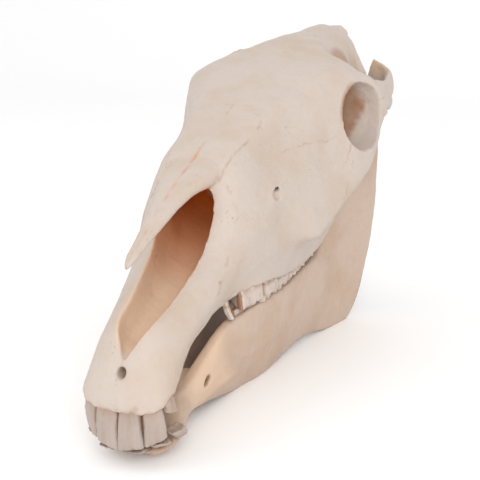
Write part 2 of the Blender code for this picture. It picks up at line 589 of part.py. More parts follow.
def cheek_tooth(name, p, length, top, bottom, middle, wide, flare, taper, swing, lean, mirror):
    """One cheek tooth: a rounded prism along the bite line; taper narrows its front from the inside,
    swing turns it outwards to the back, and lean moves its upper end inwards."""
    slope = (bite_height(p + 8) - bite_height(p - 8)) / 16
    half = length / 2 - 0.25
    rings = []
    for h, grow in ((top, 0), (bottom, flare)):
        ring = oval((middle, p, h), (wide / 2 + grow, 0, 0), (0, half, half * slope), 5, 12)
        forward = np.clip((p - ring[:, 1]) / half, 0, 1) ** 1.5
        outer = middle + wide / 2
        ring[:, 0] = outer - (outer - ring[:, 0]) * (1 - taper * forward)
        ring[:, 0] += swing * (ring[:, 1] - p) / half - (0 if grow else lean)
        ring[:, 0] *= mirror
        rings.append(ring)
    return loft(name, rings)


def cheek_teeth(upper, mirror):
    row = []
    p = CHEEK_FROM
    for count, length in enumerate(CHEEK_LENGTHS):
        middle = p + length / 2
        bite = bite_height(middle)
        taper = 0 if count else FIRST_TAPER
        swing = 0 if count else FIRST_SWING
        outer = min(UPPER_OUTER + OUTER_SLOPE * (middle - CHEEK_FROM), OUTER_MOST) if count else FIRST_OUTER
        if upper:
            row.append(cheek_tooth("tooth", middle, length, gum_height(middle) + TOOTH_ROOT, bite,
                                   outer - UPPER_WIDTH / 2, UPPER_WIDTH - 3, 1.0, taper, swing, ROOT_IN, mirror))
        else:
            centre = outer - LOWER_INSET - LOWER_WIDTH / 2
            low = bite - BITE_GAP - LOWER_CROWN - TOOTH_ROOT
            row.append(cheek_tooth("tooth", middle - LOWER_FORWARD, length, bite - BITE_GAP, low, centre,
                                   LOWER_WIDTH, 0, taper, swing, 0, mirror))
        p += length
    return row


def front_tooth(shape, mirror):
    """An incisor: it widens and flattens from the gum to the cutting edge."""
    root, tip, at_root, at_tip, turn = shape
    a = math.radians(turn)
    wide = np.array([math.cos(a), math.sin(a), 0])
    deep = np.array([-math.sin(a), math.cos(a), 0])
    spots = []
    for t in (0, 0.4, 1):
        size = np.array(at_root) * (1 - t) + np.array(at_tip) * t
        centre = np.array(root) * (1 - t) + np.array(tip) * t - deep * FRONT_BULGE * math.sin(math.pi * t)
        spots.append((centre, wide * size[0] / 2, deep * size[1] / 2))
    return tube("front_tooth", spots, 3, 10, mirror)


def front_teeth(shapes, mirror):
    return [front_tooth(shape, mirror) for shape in shapes]


# --- bones ---------------------------------------------------------------

def nose_area(by, mirror):
    places = np.linspace(NOSE_AREA[0][0], NOSE_AREA[-1][0] + by, 20)
    inner = KERF / 2 - by
    rings = []
    for p, (wide, low) in zip(places, smooth(NOSE_AREA, places)):
        ring = [(inner, p, low - by), (wide + by, p, low - by), (wide + by, p, AREA_TOP),
                (inner, p, AREA_TOP)]
        rings.append([(x * mirror, p, h) for x, p, h in ring])
    return loft("nose_area", rings)


def side_area(outline, by, inner, mirror):
    return prism("side_area", grown(outline, by), mirror * (inner - by), mirror * AREA_SIDE)


def tidy(bone):
    """Weld the cut edges and drop crumbs that a cut left."""
    shape = bmesh.new()
    shape.from_mesh(bone.data)
    bmesh.ops.remove_doubles(shape, verts=shape.verts, dist=0.00002)
    bmesh.ops.dissolve_degenerate(shape, edges=shape.edges, dist=0.00002)
    shape.verts.ensure_lookup_table()
    left = set(shape.verts)
    bodies = []
    while left:
        body = {left.pop()}
        front = list(body)
        while front:
            vert = front.pop()
            for edge in vert.link_edges:
                other = edge.other_vert(vert)
                if other in left:
                    left.remove(other)
                    body.add(other)
                    front.append(other)
        bodies.append(body)
    bodies.sort(key=len)
    for body in bodies[:-1]:
        bmesh.ops.delete(shape, geom=list(body), context="VERTS")
    shape.to_mesh(bone.data)
    shape.free()


def part_off(whole, name, area):
    """Take one bone out of the whole, and leave a fine gap round it."""
    piece = duplicate(whole, name)
    boolean(piece, [area(0.0)], "INTERSECT")
    boolean(whole, [area(KERF)], "DIFFERENCE")
    return piece


def cranial_bones():
    whole = cranium()
    bones = []
    for side, mirror in (("left", 1), ("right", -1)):
        bones.append(part_off(whole, "nasal_bone_" + side, lambda by: nose_area(by, mirror)))
    for side, mirror in (("left", 1), ("right", -1)):
        piece = part_off(whole, "incisive_bone_" + side,
                         lambda by: side_area(INCISOR_AREA, by, KERF / 2, mirror))
        join(piece, front_teeth(UPPER_INCISORS, mirror))
        bones.append(piece)
    bones.append(part_off(whole, "frontal_bones",
                          lambda by: prism("brow_area", grown(BROW_AREA, by), -AREA_SIDE, AREA_SIDE)))
    for side, mirror in (("left", 1), ("right", -1)):
        bones.append(part_off(whole, "cheek_arch_" + side,
                              lambda by: side_area(CHEEK_AREA, by, CHEEK_INNER, mirror)))
    for side, mirror in (("left", 1), ("right", -1)):
        piece = part_off(whole, "upper_jaw_" + side,
                         lambda by: side_area(UPPER_JAW_AREA, by, KERF / 2, mirror))
        join(piece, cheek_teeth(True, mirror) + ([front_tooth(WOLF_TOOTH, 1)] if mirror == 1 else []))
        bones.append(piece)
    whole.name = "braincase"
    return bones + [whole]


def jaw_bones():
    whole = lower_jaw()
    front = part_off(whole, "lower_jaw_front",
                     lambda by: prism("front_area", grown(JAW_FRONT_AREA, by),
                                      -JAW_FRONT_SIDE, JAW_FRONT_SIDE))
    join(front, front_teeth(LOWER_INCISORS, 1) + front_teeth(LOWER_INCISORS, -1))
    left = duplicate(whole, "lower_jaw_left")
    boolean(left, [prism("half", JAW_HALF_AREA, 0, JAW_HALF_SIDE)], "INTERSECT")
    boolean(whole, [prism("half", JAW_HALF_AREA, -JAW_HALF_SIDE, 0)], "INTERSECT")
    whole.name = "lower_jaw_right"
    join(left, cheek_teeth(False, 1))
    join(whole, cheek_teeth(False, -1))
    return [front, left, whole]


def level_under(bone):
    """Small flats on one level, where the jaw lies on the floor."""
    shape = bmesh.new()
    place = Matrix.Translation((0, 0.25, -0.05)) @ Matrix.Diagonal((0.4, 1, 0.1, 1))
    bmesh.ops.create_cube(shape, size=1.0, matrix=place)
    mesh = bpy.data.meshes.new("floor")
    shape.to_mesh(mesh)
    shape.free()
    block = bpy.data.objects.new("floor", mesh)
    bpy.context.scene.collection.objects.link(block)
    carve(bone, [block])


def finish(bones):
    """Name, colour and gather the bones, with the middle of their box above the origin."""
    group = bpy.data.collections.new("horse_skull")
    bpy.context.scene.collection.children.link(group)
    corners = np.array([v.co for bone in bones for v in bone.data.vertices])
    middle = (corners.min(axis=0) + corners.max(axis=0)) / 2
    shift = Matrix.Translation((-middle[0], -middle[1], 0))
    for bone in bones:
        tidy(bone)
        bone.data.transform(shift)
        bone.data.name = bone.name
        jaw = bone.name.startswith("lower")
        material = bpy.data.materials.new(bone.name + "_bone")
        material.use_nodes = True
        surface = material.node_tree.nodes["Principled BSDF"]
        surface.inputs["Base Color"].default_value = (*(JAW_TAN if jaw else IVORY), 1)
        surface.inputs["Roughness"].default_value = 0.5
        surface.inputs["Metallic"].default_value = 0.0
        bone.data.materials.clear()
        bone.data.materials.append(material)
        bone.data.shade_smooth()
        bone.data.set_sharp_from_angle(angle=math.radians(40))
        bpy.context.scene.collection.objects.unlink(bone)
        group.objects.link(bone)


def main():
    for item in list(bpy.data.objects):
        bpy.data.objects.remove(item)
    jaws = jaw_bones()
    for bone in jaws:
        level_under(bone)
    finish(cranial_bones() + jaws)


main()
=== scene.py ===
"""Horse skull with its lower jaw, dressed with fine bone and teeth.

The bones are drawn in the skull's own frame, in millimetres: x to the animal's
left, p backwards from the front of the upper gum, h upwards from the line of
the upper cheek teeth. They are turned and lifted onto the floor with to_world.
"""

import math

import bmesh
import bpy
import numpy as np
from bpy.props import FloatProperty, FloatVectorProperty, PointerProperty
from bpy.types import Operator, Panel, PropertyGroup
from mathutils import Matrix, Vector
from mathutils.bvhtree import BVHTree


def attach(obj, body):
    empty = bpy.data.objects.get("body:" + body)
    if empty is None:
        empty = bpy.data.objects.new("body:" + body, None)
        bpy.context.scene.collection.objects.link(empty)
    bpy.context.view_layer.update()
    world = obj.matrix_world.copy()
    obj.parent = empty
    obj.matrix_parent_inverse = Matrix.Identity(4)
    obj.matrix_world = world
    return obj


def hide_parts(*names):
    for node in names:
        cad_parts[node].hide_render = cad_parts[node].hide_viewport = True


bl_info = {
    "name": "Horse Skull",
    "version": (1, 0, 0),
    "blender": (4, 5, 0),
    "location": "3D View > Sidebar > Skull",
    "description": "Builds a life-size horse skull with its lower jaw, teeth and a plain studio",
    "category": "Add Mesh",
}

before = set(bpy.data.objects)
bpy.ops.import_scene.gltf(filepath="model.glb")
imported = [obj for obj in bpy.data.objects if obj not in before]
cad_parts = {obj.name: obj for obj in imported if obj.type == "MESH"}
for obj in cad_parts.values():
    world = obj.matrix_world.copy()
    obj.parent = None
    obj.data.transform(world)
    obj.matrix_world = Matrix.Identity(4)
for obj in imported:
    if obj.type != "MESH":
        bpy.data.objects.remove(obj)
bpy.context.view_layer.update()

MM = 0.001
REST_TILT = math.radians(13.1)
REST_SHIFT = (0.0351, -266.7055, 54.4)

# Upper skull: (p, x, h) of the lines that a face section passes through.
BROW_LINE = ((8, 0, -7), (11, 0, -3), (14, 0, 2), (22, 0, 13), (30, 0, 23), (45, 0, 29),
             (70, 0, 36), (100, 0, 44), (125, 0, 56), (145, 0, 74), (157, 0, 90), (166, 0, 108),
             (180, 0, 118.5), (220, 0, 126), (260, 0, 133), (300, 0, 139.5), (350, 0, 147),
             (386, 0, 150), (392, 0, 150))
EDGE_LINE = ((8, 8, -7.5), (11, 9, -4), (14, 10, 1), (22, 10, 12), (30, 9, 23), (38, 10, 31),
             (45, 12, 35), (58, 17, 38.5), (72, 18.5, 40.5), (96, 20, 46), (125, 22, 56), (141, 24, 70),
             (157, 25, 88), (166, 24, 101), (180, 26, 114), (220, 30, 122.5), (260, 38, 130),
             (300, 44, 136), (350, 46, 145), (386, 44, 146), (392, 43, 145))
SHOULDER_LINE = ((8, 13, -8.5), (11, 18, -6), (14, 21, -2.5), (22, 25, 5), (30, 24, 14), (45, 26, 25),
                 (66, 29, 31), (80, 31, 34), (100, 33, 41), (130, 36, 54), (162, 42, 79),
                 (193, 45.5, 91), (225, 45.5, 97), (260, 50, 106.5), (300, 62.5, 118), (321, 70.5, 123.7),
                 (350, 80, 130), (366, 85, 128), (386, 86, 122), (392, 84, 116))
WALL_LINE = ((8, 16, -10), (11, 23, -8), (14, 27, -6), (22, 32.5, -1), (30, 33, 4), (45, 34, 11),
             (66, 34.5, 19), (80, 36, 24), (100, 38.5, 29), (130, 42.5, 38), (162, 50, 54),
             (193, 56, 66), (225, 59, 73), (260, 64, 79), (300, 73, 84), (321, 82, 90),
             (350, 95, 96), (386, 100, 92), (392, 98, 88))
CREST_LINE = ((8, 17, -11), (11, 25, -9.5), (14, 29.5, -8.5), (22, 35, -5), (30, 36.5, -4), (45, 34, -1),
              (66, 29.5, 2), (80, 28, 5), (100, 30.5, 9), (130, 38, 20), (162, 48, 28),
              (193, 56, 34), (215, 62, 34), (230, 71, 29), (239, 78.5, 24), (252, 82, 27),
              (275, 87, 35), (300, 92, 42), (345, 100, 53), (386, 97, 64), (392, 94, 68))
HOLLOW_LINE = ((8, 16.5, -12), (11, 25, -11.5), (14, 29, -11), (22, 34.5, -8.5), (30, 35.5, -7.5),
               (45, 32, -5), (66, 27, -3), (80, 25, 0), (100, 27, 5), (130, 34.5, 14), (162, 46, 19),
               (193, 54, 20), (215, 58, 18), (239, 61, 13), (260, 65, 13), (300, 73, 22),
               (345, 86, 37), (386, 88, 52), (392, 86, 56))
GUM_LINE = ((8, 15, -12.8), (11, 22, -13.5), (14, 26, -13.5), (22, 31, -11.5), (30, 32, -10), (45, 27, -7.5),
            (66, 22, -6), (80, 20, -3), (100, 22, 1), (130, 31, 9), (148, 39.5, 11), (186, 49.5, 3.5),
            (214, 51, -6), (241, 52, -14), (266, 52.5, -19), (291, 53, -22.5), (317, 52, -24),
            (338, 48, 2), (365, 44, 26), (386, 42, 38), (392, 42, 42))
LINGUAL_LINE = ((8, 8, -13.2), (11, 12, -14.5), (14, 15, -15), (22, 20, -13), (30, 20, -11), (45, 17, -7),
                (66, 13, -3), (80, 12, 0), (100, 14, 4), (130, 20, 9), (148, 24, 11), (186, 27, 6),
                (241, 31, -5), (317, 34, -14), (338, 34, 4), (365, 32, 28), (386, 30, 40), (392, 30, 44))
PALATE_LINE = ((8, 0, -13.2), (14, 0, -15), (30, 0, -9), (66, 0, 1), (100, 0, 7), (148, 0, 13),
               (241, 0, 8), (300, 0, 5), (338, 0, 20), (365, 0, 34), (386, 0, 40), (392, 0, 43))
FACE_RAILS = (BROW_LINE, EDGE_LINE, SHOULDER_LINE, WALL_LINE, CREST_LINE,
              HOLLOW_LINE, GUM_LINE, LINGUAL_LINE, PALATE_LINE)

CROWN_LINE = ((352, 0, 140), (394, 0, 150.5), (430, 0, 151), (460, 0, 149), (490, 0, 146),
              (520, 0, 141), (535, 0, 137), (546, 0, 128))
TEMPLE_LINE = ((352, 26, 132), (394, 30, 137), (430, 22, 139.5), (460, 19, 139), (490, 22, 134),
               (520, 25, 128), (535, 23, 126), (546, 18, 120))
SIDE_LINE = ((352, 38, 95), (394, 43, 103), (430, 46, 101), (460, 49, 98), (490, 46, 96),
             (520, 42, 95), (535, 36, 92), (546, 26, 94))
BASE_SIDE_LINE = ((352, 30, 55), (394, 31, 58), (430, 36, 58), (460, 43, 60), (490, 51, 64),
                  (520, 45, 60), (535, 36, 62), (546, 24, 82))
BASE_LINE = ((352, 0, 36), (394, 0, 43), (430, 0, 45), (460, 0, 46), (490, 0, 46), (520, 0, 48),
             (535, 0, 54), (546, 0, 76))
BRAINCASE_RAILS = (CROWN_LINE, TEMPLE_LINE, SIDE_LINE, BASE_SIDE_LINE, BASE_LINE)

FLAT_LINE = ((350, 0, 146.5), (386, 0, 150.5), (410, 0, 151), (435, 0, 150.5), (464, 0, 148))
FLAT_EDGE_LINE = ((350, 52, 141), (386, 50, 143), (400, 42, 144), (412, 37, 145), (435, 24, 147),
                  (464, 9, 146))
FLAT_UNDER_LINE = ((350, 50, 122), (386, 47, 126), (400, 40, 130), (412, 35, 133), (435, 22, 138),
                   (464, 7, 138))
FLAT_BASE_LINE = ((350, 0, 118), (386, 0, 122), (410, 0, 128), (435, 0, 132), (464, 0, 134))
FLAT_RAILS = (FLAT_LINE, FLAT_EDGE_LINE, FLAT_UNDER_LINE, FLAT_BASE_LINE)

# Free front of the nasal bones: (p, half width, top h, thickness).
NASAL_SPIKE = ((50, 1.5, 83.5, 3), (56, 3.5, 86.5, 4), (75, 6, 92.5, 5), (95, 8.5, 98.5, 6),
               (115, 11, 104.5, 7), (135, 15, 110, 9), (152, 20, 113.5, 12), (172, 24, 116.5, 16),
               (186, 25, 119, 16), (200, 25, 120.5, 15), (215, 24, 122, 13))
# Nasal cavity: (p, half width, floor h, roof h).
NASAL_CAVITY = ((28, 1.6, 18.5, 34), (31, 3, 19, 46), (36, 6, 19, 60), (42, 10, 19, 68), (58, 14.5, 17, 74),
                (75, 16, 18, 80), (100, 19, 20, 86), (125, 21, 24, 92), (145, 23, 28, 98), (165, 24, 32, 103),
                (190, 27, 38, 108), (215, 28, 46, 112), (233.5, 20, 59, 107))

# Cheek arch: lower edge (x, p, h), upper edge (x, p, h), half thickness at lower edge, middle, upper edge.
ARCH_FAN = (
    ((93, 344, 54), (94, 344, 74), (7, 8, 6)),
    ((94, 366, 59), (96, 368, 88), (5, 7, 6)),
    ((93.5, 388, 65), (97, 388, 111), (4.5, 6, 5)),
    ((92, 408, 71), (98.5, 408, 112), (4.5, 5.5, 4)),
    ((91, 426, 76), (98, 424, 113), (4.5, 6.5, 4)),
    ((88, 442, 77), (95.5, 440, 115), (5, 7, 3)),
    ((82, 453, 76), (87, 451, 118), (5, 6, 2.5)),
    ((75, 461, 75), (80, 456, 120), (6, 6, 2)),
    ((69, 467, 73), (73.5, 461, 121), (6, 6, 2)),
    ((62, 472, 72), (68, 467, 102), (7, 7, 3)),
    ((54, 476, 70), (60, 473, 97), (8, 8, 4)),
    ((44, 480, 68), (50, 478, 96), (8, 8, 5)),
)
# The right arch stands higher: it rises from FIN_FROM on, in full FIN_SPAN higher up.
RIGHT_FIN_RISE = 8.0
FIN_FROM = 112.5
FIN_SPAN = 7.3
# Bar from the brow down to the cheek arch behind the eye: (x, p, h, half size along p, half size across).
BROW_BAR = ((72, 374, 129, 10, 9), (84, 379, 123, 10, 7), (92, 384, 114, 9, 5.5), (96.5, 388, 103, 9, 5),
            (98, 391, 93, 10, 5), (97, 394, 82, 11, 6))

# Shelf that widens the brow bar backwards to the cheek arch: (x, p, h, half width, half thickness).
BROW_SHELF = ((84.6, 383.2, 114.3, 10.7, 7), (87.5, 395, 111, 11.5, 7), (89, 407, 108, 10.5, 6.5),
              (92, 418, 105.5, 7, 5))
# Eye socket from outside inwards: (centre, half length along p, half height).
EYE_SOCKET = (((132, 339, 104), 36, 36), ((112, 345, 100), 32, 33), ((93, 352, 97), 28.5, 30.5),
              ((80, 353, 96), 28, 29.5), ((66, 354, 95), 25, 26), ((54, 355, 93), 19, 20),
              ((45, 356, 91), 10, 11))
# Bites in the front rim of the left eye socket: (p, h, size).
RIM_BITES = ((317.5, 118, 1.1), (320.5, 113.5, 1.5))
# Space inside the cheek arch, from above downwards: (centre, half width, half length).
TEMPLE_SPACE = (((69, 424, 200), 24, 30), ((69, 424, 140), 24, 30), ((69, 424, 110), 23, 33),
                ((68, 424, 80), 22, 34), ((68, 422, 20), 22, 36))
# Cuts through the left side, below the cheek arch and the braincase: outline of (p, h) corners,
# inner and outer x.
SIDE_CUTS = {
    "under_cheek": (((326, -60), (326, -5), (333, 25), (345, 42), (366, 54), (400, 66), (426, 71), (456, 71),
                     (462, 40), (462, -60)), 47.0, 130.0),
    "cheek_hollow": (((340, 20), (346, 44), (358, 58), (372, 64), (384, 66), (394, 90), (430, 95), (440, 71),
                      (455, 70), (455, 20)), 47.0, 85.5),
    "side_trim": (((372, -60), (372, 20), (392, 44), (402, 61), (462, 61), (470, 40), (470, -60)),
                  33.0, 60.0),
}
# Passage behind the palate: (p, h, half width, half height).
INNER_PASSAGE = ((296, 44, 17, 12), (316, 40, 20, 22), (340, 20, 22, 40), (370, 4, 20, 42),
                 (392, -16, 16, 42))
# Ridge from the corner of the nape down to the root of the cheek arch: (centre, half width, half height).
TEMPLE_CREST = (((21.4, 537.3, 119.3), 5.2, 6.6), ((30.6, 522.7, 116.2), 4.7, 6.5),
                ((41, 503, 109), 4.5, 6.5), ((50, 487, 102), 5, 7), ((56, 477, 95), 6, 7))

# Small openings and parts of the base as tubes: (centre, across, up) at each station.
CHEEK_CANAL = (((55, 210, 76.5), (0, 0.8, 3), (2.5, 2.5, 0)), ((45, 227, 80), (0, 0.6, 2.2), (1.8, 1.8, 0)))
SPINAL_OPENING = (((0, 575, 78), (18, 0, 0), (0, 0, 17)), ((0, 540, 76), (18, 0, 0), (0, 0, 17)),
                  ((0, 505, 78), (15, 0, 0), (0, 0, 15)))
INCISOR_FORAMEN = (((0, 14, 15), (4, 0, 0), (0, 1.5, 4.5)), ((0, 34, 8), (3.5, 0, 0), (0, 1.5, 4)))
JUGULAR_PROCESS = (((43, 506, 72), (13, 0, 0), (0, 13, 0)), ((47, 507, 45), (7, 0, 0), (0, 12, 0)),
                   ((49, 506, 20), (5, 0, 0), (0, 9, 0)), ((49, 503, -4), (2.5, 0, 0), (0, 4, 0)))
PALATE_WING = (((31, 312, 14), (6, 0, 0), (0, 0, 24)), ((29, 335, 26), (4, 0, 0), (0, 0, 26)),
               ((27, 362, 34), (3.5, 0, 0), (0, 0, 27)), ((24.3, 387, 46.3), (4, 0, 0), (0, 0, 13)))
JAW_SEAT = (((56, 452.3, 80.2), (0, 15, 0), (0, 0, 9)), ((78, 449.7, 79.3), (0, 13, 0), (0, 0, 8)),
            ((95.6, 441.6, 80.4), (0, 9, 0), (0, 0, 7)))
NAPE_CREST = (((-23, 539, 122), (0, 6, 0), (0, 0, 7)), ((-15, 542, 127), (0, 6, 0), (0, 0, 8)),
              ((0, 543, 127), (0, 6, 0), (0, 0, 7)), ((15, 542, 127), (0, 6, 0), (0, 0, 8)),
              ((23, 539, 122), (0, 6, 0), (0, 0, 7)))
TONGUE_SPACE = (((0, 99, -46), (4, 0, 0), (0, 0, 34)), ((0, 116, -46), (12, 0, 0), (0, 0, 60)),
                ((0, 150, -46), (14, 0, 0), (0, 0, 70)))
CHIN_FORAMEN = (((42, 91, -38), (0, 7, 0), (0, 1, 5.2)), ((14, 107, -46), (0, 5.6, 0), (0, 1, 4.6)))
# Balls: (centre, half sizes), and for some a turn in degrees.
CHEEK_FORAMEN = ((55.8, 209, 75), (4.8, 6.4, 4.8))
EAR_PASSAGE = ((66, 478, 72), (14, 5, 5))
EAR_BASE = ((55, 480, 74), (14, 14, 15))
SKULL_CONDYLE = ((25, 537, 60), (15, 15, 20), 25)

# Lower jaw, left half: inner end (x, p, h), outer end (x, p, h), half thickness at inner, middle, outer.
JAW_FAN = (
    ((15, 58, -31), (15, 58, -53), (7, 7, 5)),
    ((19, 80, -30), (16, 80, -60.5), (8, 8, 5)),
    ((24, 110, -20), (18, 110, -71.5), (8, 8, 5)),
    ((33, 138, -8), (19, 140, -85.5), (9, 10.5, 6)),
    ((38, 160, -9), (20, 164, -95.8), (10, 12, 6)),
    ((40, 200, -17.5), (27.5, 204, -105.3), (11, 12, 7)),
    ((41, 241, -28), (31, 243, -110), (11, 12, 7)),
    ((43, 285, -34), (36, 287, -115.5), (10, 11, 7)),
    ((46, 314, -38), (43, 320, -127.5), (9, 8, 7)),
    ((49, 330, -27), (49.5, 348, -139), (7, 6, 7)),
    ((53, 341, -3), (55.5, 374, -145.4), (6, 4.5, 7)),
    ((57, 349, 22), (63, 394, -131), (6, 4, 6.5)),
    ((60, 358, 43), (70, 405, -98), (6, 3.5, 6)),
    ((63, 371, 56), (76, 416, -62), (6, 3.5, 6)),
    ((67, 390, 58), (79, 425, -22), (5, 4, 6)),
    ((69, 410, 57), (79, 436, 16), (5, 5, 6)),
    ((70, 432, 55), (75, 448, 50), (6, 7, 7)),
)
CORONOID_FAN = (
    ((64, 385, 50), (73, 420, 48), (5, 4, 4)),
    ((66, 400, 74), (72, 424, 70), (4, 4, 3)),
    ((68, 410, 92), (71, 428, 88), (3.5, 3.5, 3)),
    ((68, 418, 104), (69, 430, 102), (3, 3, 2)),
)
JAW_CONDYLE = ((69, 446, 59), (17, 8.5, 8.5), 12)
# Front of the jaw that carries the lower incisors: (p, half width, bottom h, top h).
CHIN = ((19, 22, -56, -50), (25, 27, -57.5, -47), (33, 31, -58, -42), (45, 32.5, -58, -35),
        (60, 28, -60, -30), (76, 25, -63, -30), (92, 25, -66, -31), (106, 24, -70, -36))

# Cheek teeth run back from CHEEK_FROM, one length each.
CHEEK_FROM = 148.0
CHEEK_LENGTHS = (36, 29, 27, 24.5, 25, 27)
BITE_LINE = ((148, -2), (186, -8), (214, -14), (241, -20), (266, -24), (291, -27), (317, -30))
LOWER_CROWN = 8.0
BITE_GAP = 0.5
TOOTH_ROOT = 8.0
UPPER_WIDTH = 24.0
LOWER_WIDTH = 15.0
# Height of the ridges on a lower tooth, for each of an upper one's.
LOWER_RIDGE = 0.6
# How far a lower tooth stands in front of the upper one, and further in.
LOWER_LEAD = 3.0
LOWER_INSET = 7.0
# Outer face of the upper row: x at its front, gain for each millimetre back, largest x.
ROW_OUTER = (41.0, 0.36, 51.0)
# The first tooth narrows to its front end, stands further out and turns outwards behind; its narrowed front
# is painted dark, as painted shade.
FIRST_TAPER = 0.85
FIRST_OUTER = 45.6
FIRST_SWING = 4.0
# How much an upper cheek tooth leans in above the gum, for each millimetre.
ROOT_IN = 0.45
# How much the bite face slants across the tooth.
BITE_SLANT = -0.16
# Rings of a cheek tooth from root to bite: share of the height, width, drop of the bite face.
CHEEK_RINGS = ((0, 0.95, 0), (0.25, 0.97, 0), (0.45, 0.98, 0), (0.55, 0.985, 0), (0.62, 0.99, 0), (0.7, 1, 0),
               (0.78, 1, 0), (0.86, 1.005, 0), (0.93, 1.005, 0), (0.975, 1.0, 0), (1.0, 0.97, 0),
               (1.0, 0.86, 0.4), (1.0, 0.55, -0.9))
# Rings at the tip of an incisor, likewise; its root reaches INCISOR_ROOT of the crown's length into the bone.
INCISOR_TIP = ((0.96, 0.985, 0.0), (0.985, 0.95, 0.0), (1.0, 0.88, 0.0), (1.0, 0.72, 0.25), (1.0, 0.4, -0.8))
INCISOR_ROOT = 0.45
# Upper incisors, left side: corners of the front face (gum inner, gum outer, tip inner, tip outer),
# depth, bow, stain.
UPPER_INCISORS = (
    ((0.6, 9.0, -11), (17.0, 8.2, -9), (0.3, -0.6, -40), (19.8, 4.6, -38.5), 9.0, 1.6, 0.0),
    ((20.6, 10.5, -9.5), (32.4, 18.5, -9), (20.6, 5.6, -38.5), (34.2, 17.6, -35), 9.0, 1.6, 0.05),
    ((33.6, 21.0, -6), (35.6, 31.0, -4), (35.4, 20.5, -15), (38.2, 31.0, -20), 7.0, 0.6, 0.35),
)
# How much further in the right corner tooth stands.
RIGHT_CORNER_IN = 4.0
# How far the root of an upper incisor leans back and towards the midline, for one crown length.
ROOT_LEAN = 24.0
ROOT_TUCK = 10.0
# How far the front of a lower incisor bows forwards.
LOWER_BOW = 1.6
# Lower incisors, left side: root and tip (x, p, h), (width, depth) at root and at tip, turn in degrees.
LOWER_INCISORS = (
    ((8.2, 27, -54), (9.2, 6.5, -41.5), (14, 9), (17.2, 8), 2),
    ((21.5, 33, -52), (26.2, 16.5, -38.5), (11.5, 9), (15, 9.5), 34),
    ((29, 42, -50), (34.4, 28.0, -33.5), (10, 9), (14, 10.5), 66),
)
WOLF_TOOTH = ((30.5, 140, 12), (35.5, 138.5, -6), (5.2, 5), (4.6, 4.2), 0)

# Borders of the bones. Nose roof: (p, half width, lowest h).
NOSE_AREA = ((30, 25, 58), (70, 25, 70), (100, 24, 80), (130, 23, 89), (150, 23, 96), (161, 23.4, 101),
             (170, 25, 101), (180, 27, 101), (200, 30, 100), (222, 33, 99), (236, 34, 98), (250, 27, 98),
             (262, 14, 98))
# Side outlines, as (p, h) corners.
INCISOR_AREA = ((-20, -70), (60, -70), (60, -12), (64, 0), (84, 12), (104, 28), (128, 46), (148, 64),
                (160, 80), (167, 98), (160, 100), (148, 94), (130, 86), (100, 74), (30, 56), (-20, 56))
BROW_AREA = ((236, 98), (262, 98), (300, 90), (330, 87.5), (352, 96.8), (376, 103), (402, 103), (404, 120),
             (440, 138), (440, 200), (236, 200))
CHEEK_AREA = ((331.5, 87), (304, 62), (290, 38), (300, 20), (500, 20), (500, 172), (440, 138), (404, 120),
              (402, 103), (376, 103), (352, 96.8))
CHEEK_INNER = 59.0
UPPER_JAW_AREA = ((20, -70), (331, -70), (331, -20), (322, 20), (316, 60), (330, 88), (331, 95), (300, 104),
                  (262, 110), (262, 140), (20, 140))
JAW_FRONT_END = 88.0
UPPER_BONES = ("nasal_bone_left", "nasal_bone_right", "incisive_bone_left", "incisive_bone_right",
               "frontal_bones", "cheek_arch_left", "cheek_arch_right", "upper_jaw_left", "upper_jaw_right",
               "braincase")
NO_BORDER = 99.0

# Cup of an eye socket: middle (p, h), half sizes, rim (x, the p where it holds, gain for each millimetre
# back), x of its floor.
CUP_MIDDLE = (354, 95)
CUP_HALF = (31, 31.5)
CUP_RIM = (80.5, 321, 0.3)
CUP_FLOOR = 40
# The painted shade, brown, in it ends at two planes: parts of x, p and h, offset, softness.
BROWN_PLANES = ((-0.878, -0.080, 0.472, 62.6, 5), (-0.744, -0.388, -0.545, 272, 11))
# Line through the small vessel hole at the back of an eye socket; the hole is not cut but painted dark along
# this line, as painted shade.
SOCKET_HOLE = ((50, 501.4, 61.2), (90, 357.4, 109))
# Painted shade: brown spots in the temple hollow and in the gap before the first cheek tooth, and warmer bone
# on the shaded front of the fins of the cheek arches, both on both sides:
# place (x, p, h), reach, softness of the edge, strength.
PAINTED_SHADE_SPOTS = (((38, 462, 121), (15, 24, 12), 0.5, 0.6), ((31, 139, 16), (7, 9, 6), 0.5, 0.5))
PAINTED_FIN_SHADE = ((79, 453, 117), (17, 12, 15), 0.4, 0.8)
# Open places of the nasal seam: (p, half length, half width).
CHINKS = ((122, 4.0, 0.7), (137, 5.0, 0.8), (158, 6.0, 0.9), (179, 7.0, 0.9))
ROOF_FROM = 95
# Lined parts: first p, last p and largest x of the nose, the same of the mouth and its lowest and highest h.
NOSE_LIMITS = (26, 233, 40)
MOUTH_LIMITS = (66, 265, 35, -66, 9)
# The lining turns orange from this depth on, in full this much further in.
ORANGE_FROM = 150
ORANGE_SPAN = 140
SEAM_WIDTH = 0.75
# Round each tooth, in metres: margin of its box and how far the bone is searched, width of the groove
# and of its brown line.
TOOTH_MARGIN = 0.004
TOOTH_REACH = 0.005
GROOVE_WIDTH = 0.0016
NECK_WIDTH = 0.0011

# Studio, in metres: y of the flat floor's front and back ends, radius of its turn up, top of the wall.
FLOOR_FRONT = -3.0
FLOOR_BACK = 2.6
FLOOR_TURN = 0.8
WALL_TOP = 2.6
FLOOR_HALF_WIDTH = 4.0
LIGHT_AIM = (0.0, -0.02, 0.14)
KEY_PLACE = (0.85, -1.75, 1.15)
KEY_SIZE = 1.5
KEY_TONE = (1.0, 0.99, 0.975)
FILL_PLACE = (-1.5, -1.0, 1.6)
FILL_SIZE = 1.8
WHITE = (1.0, 1.0, 1.0)
CAMERA_PLACE = (0.308442, -0.769106, 0.3186)
# Camera's look down and turn about the vertical, in degrees.
CAMERA_DOWN = 13.97
CAMERA_TURN = 22.55
SENSOR_WIDTH = 36.0


# --- settings ------------------------------------------------------------

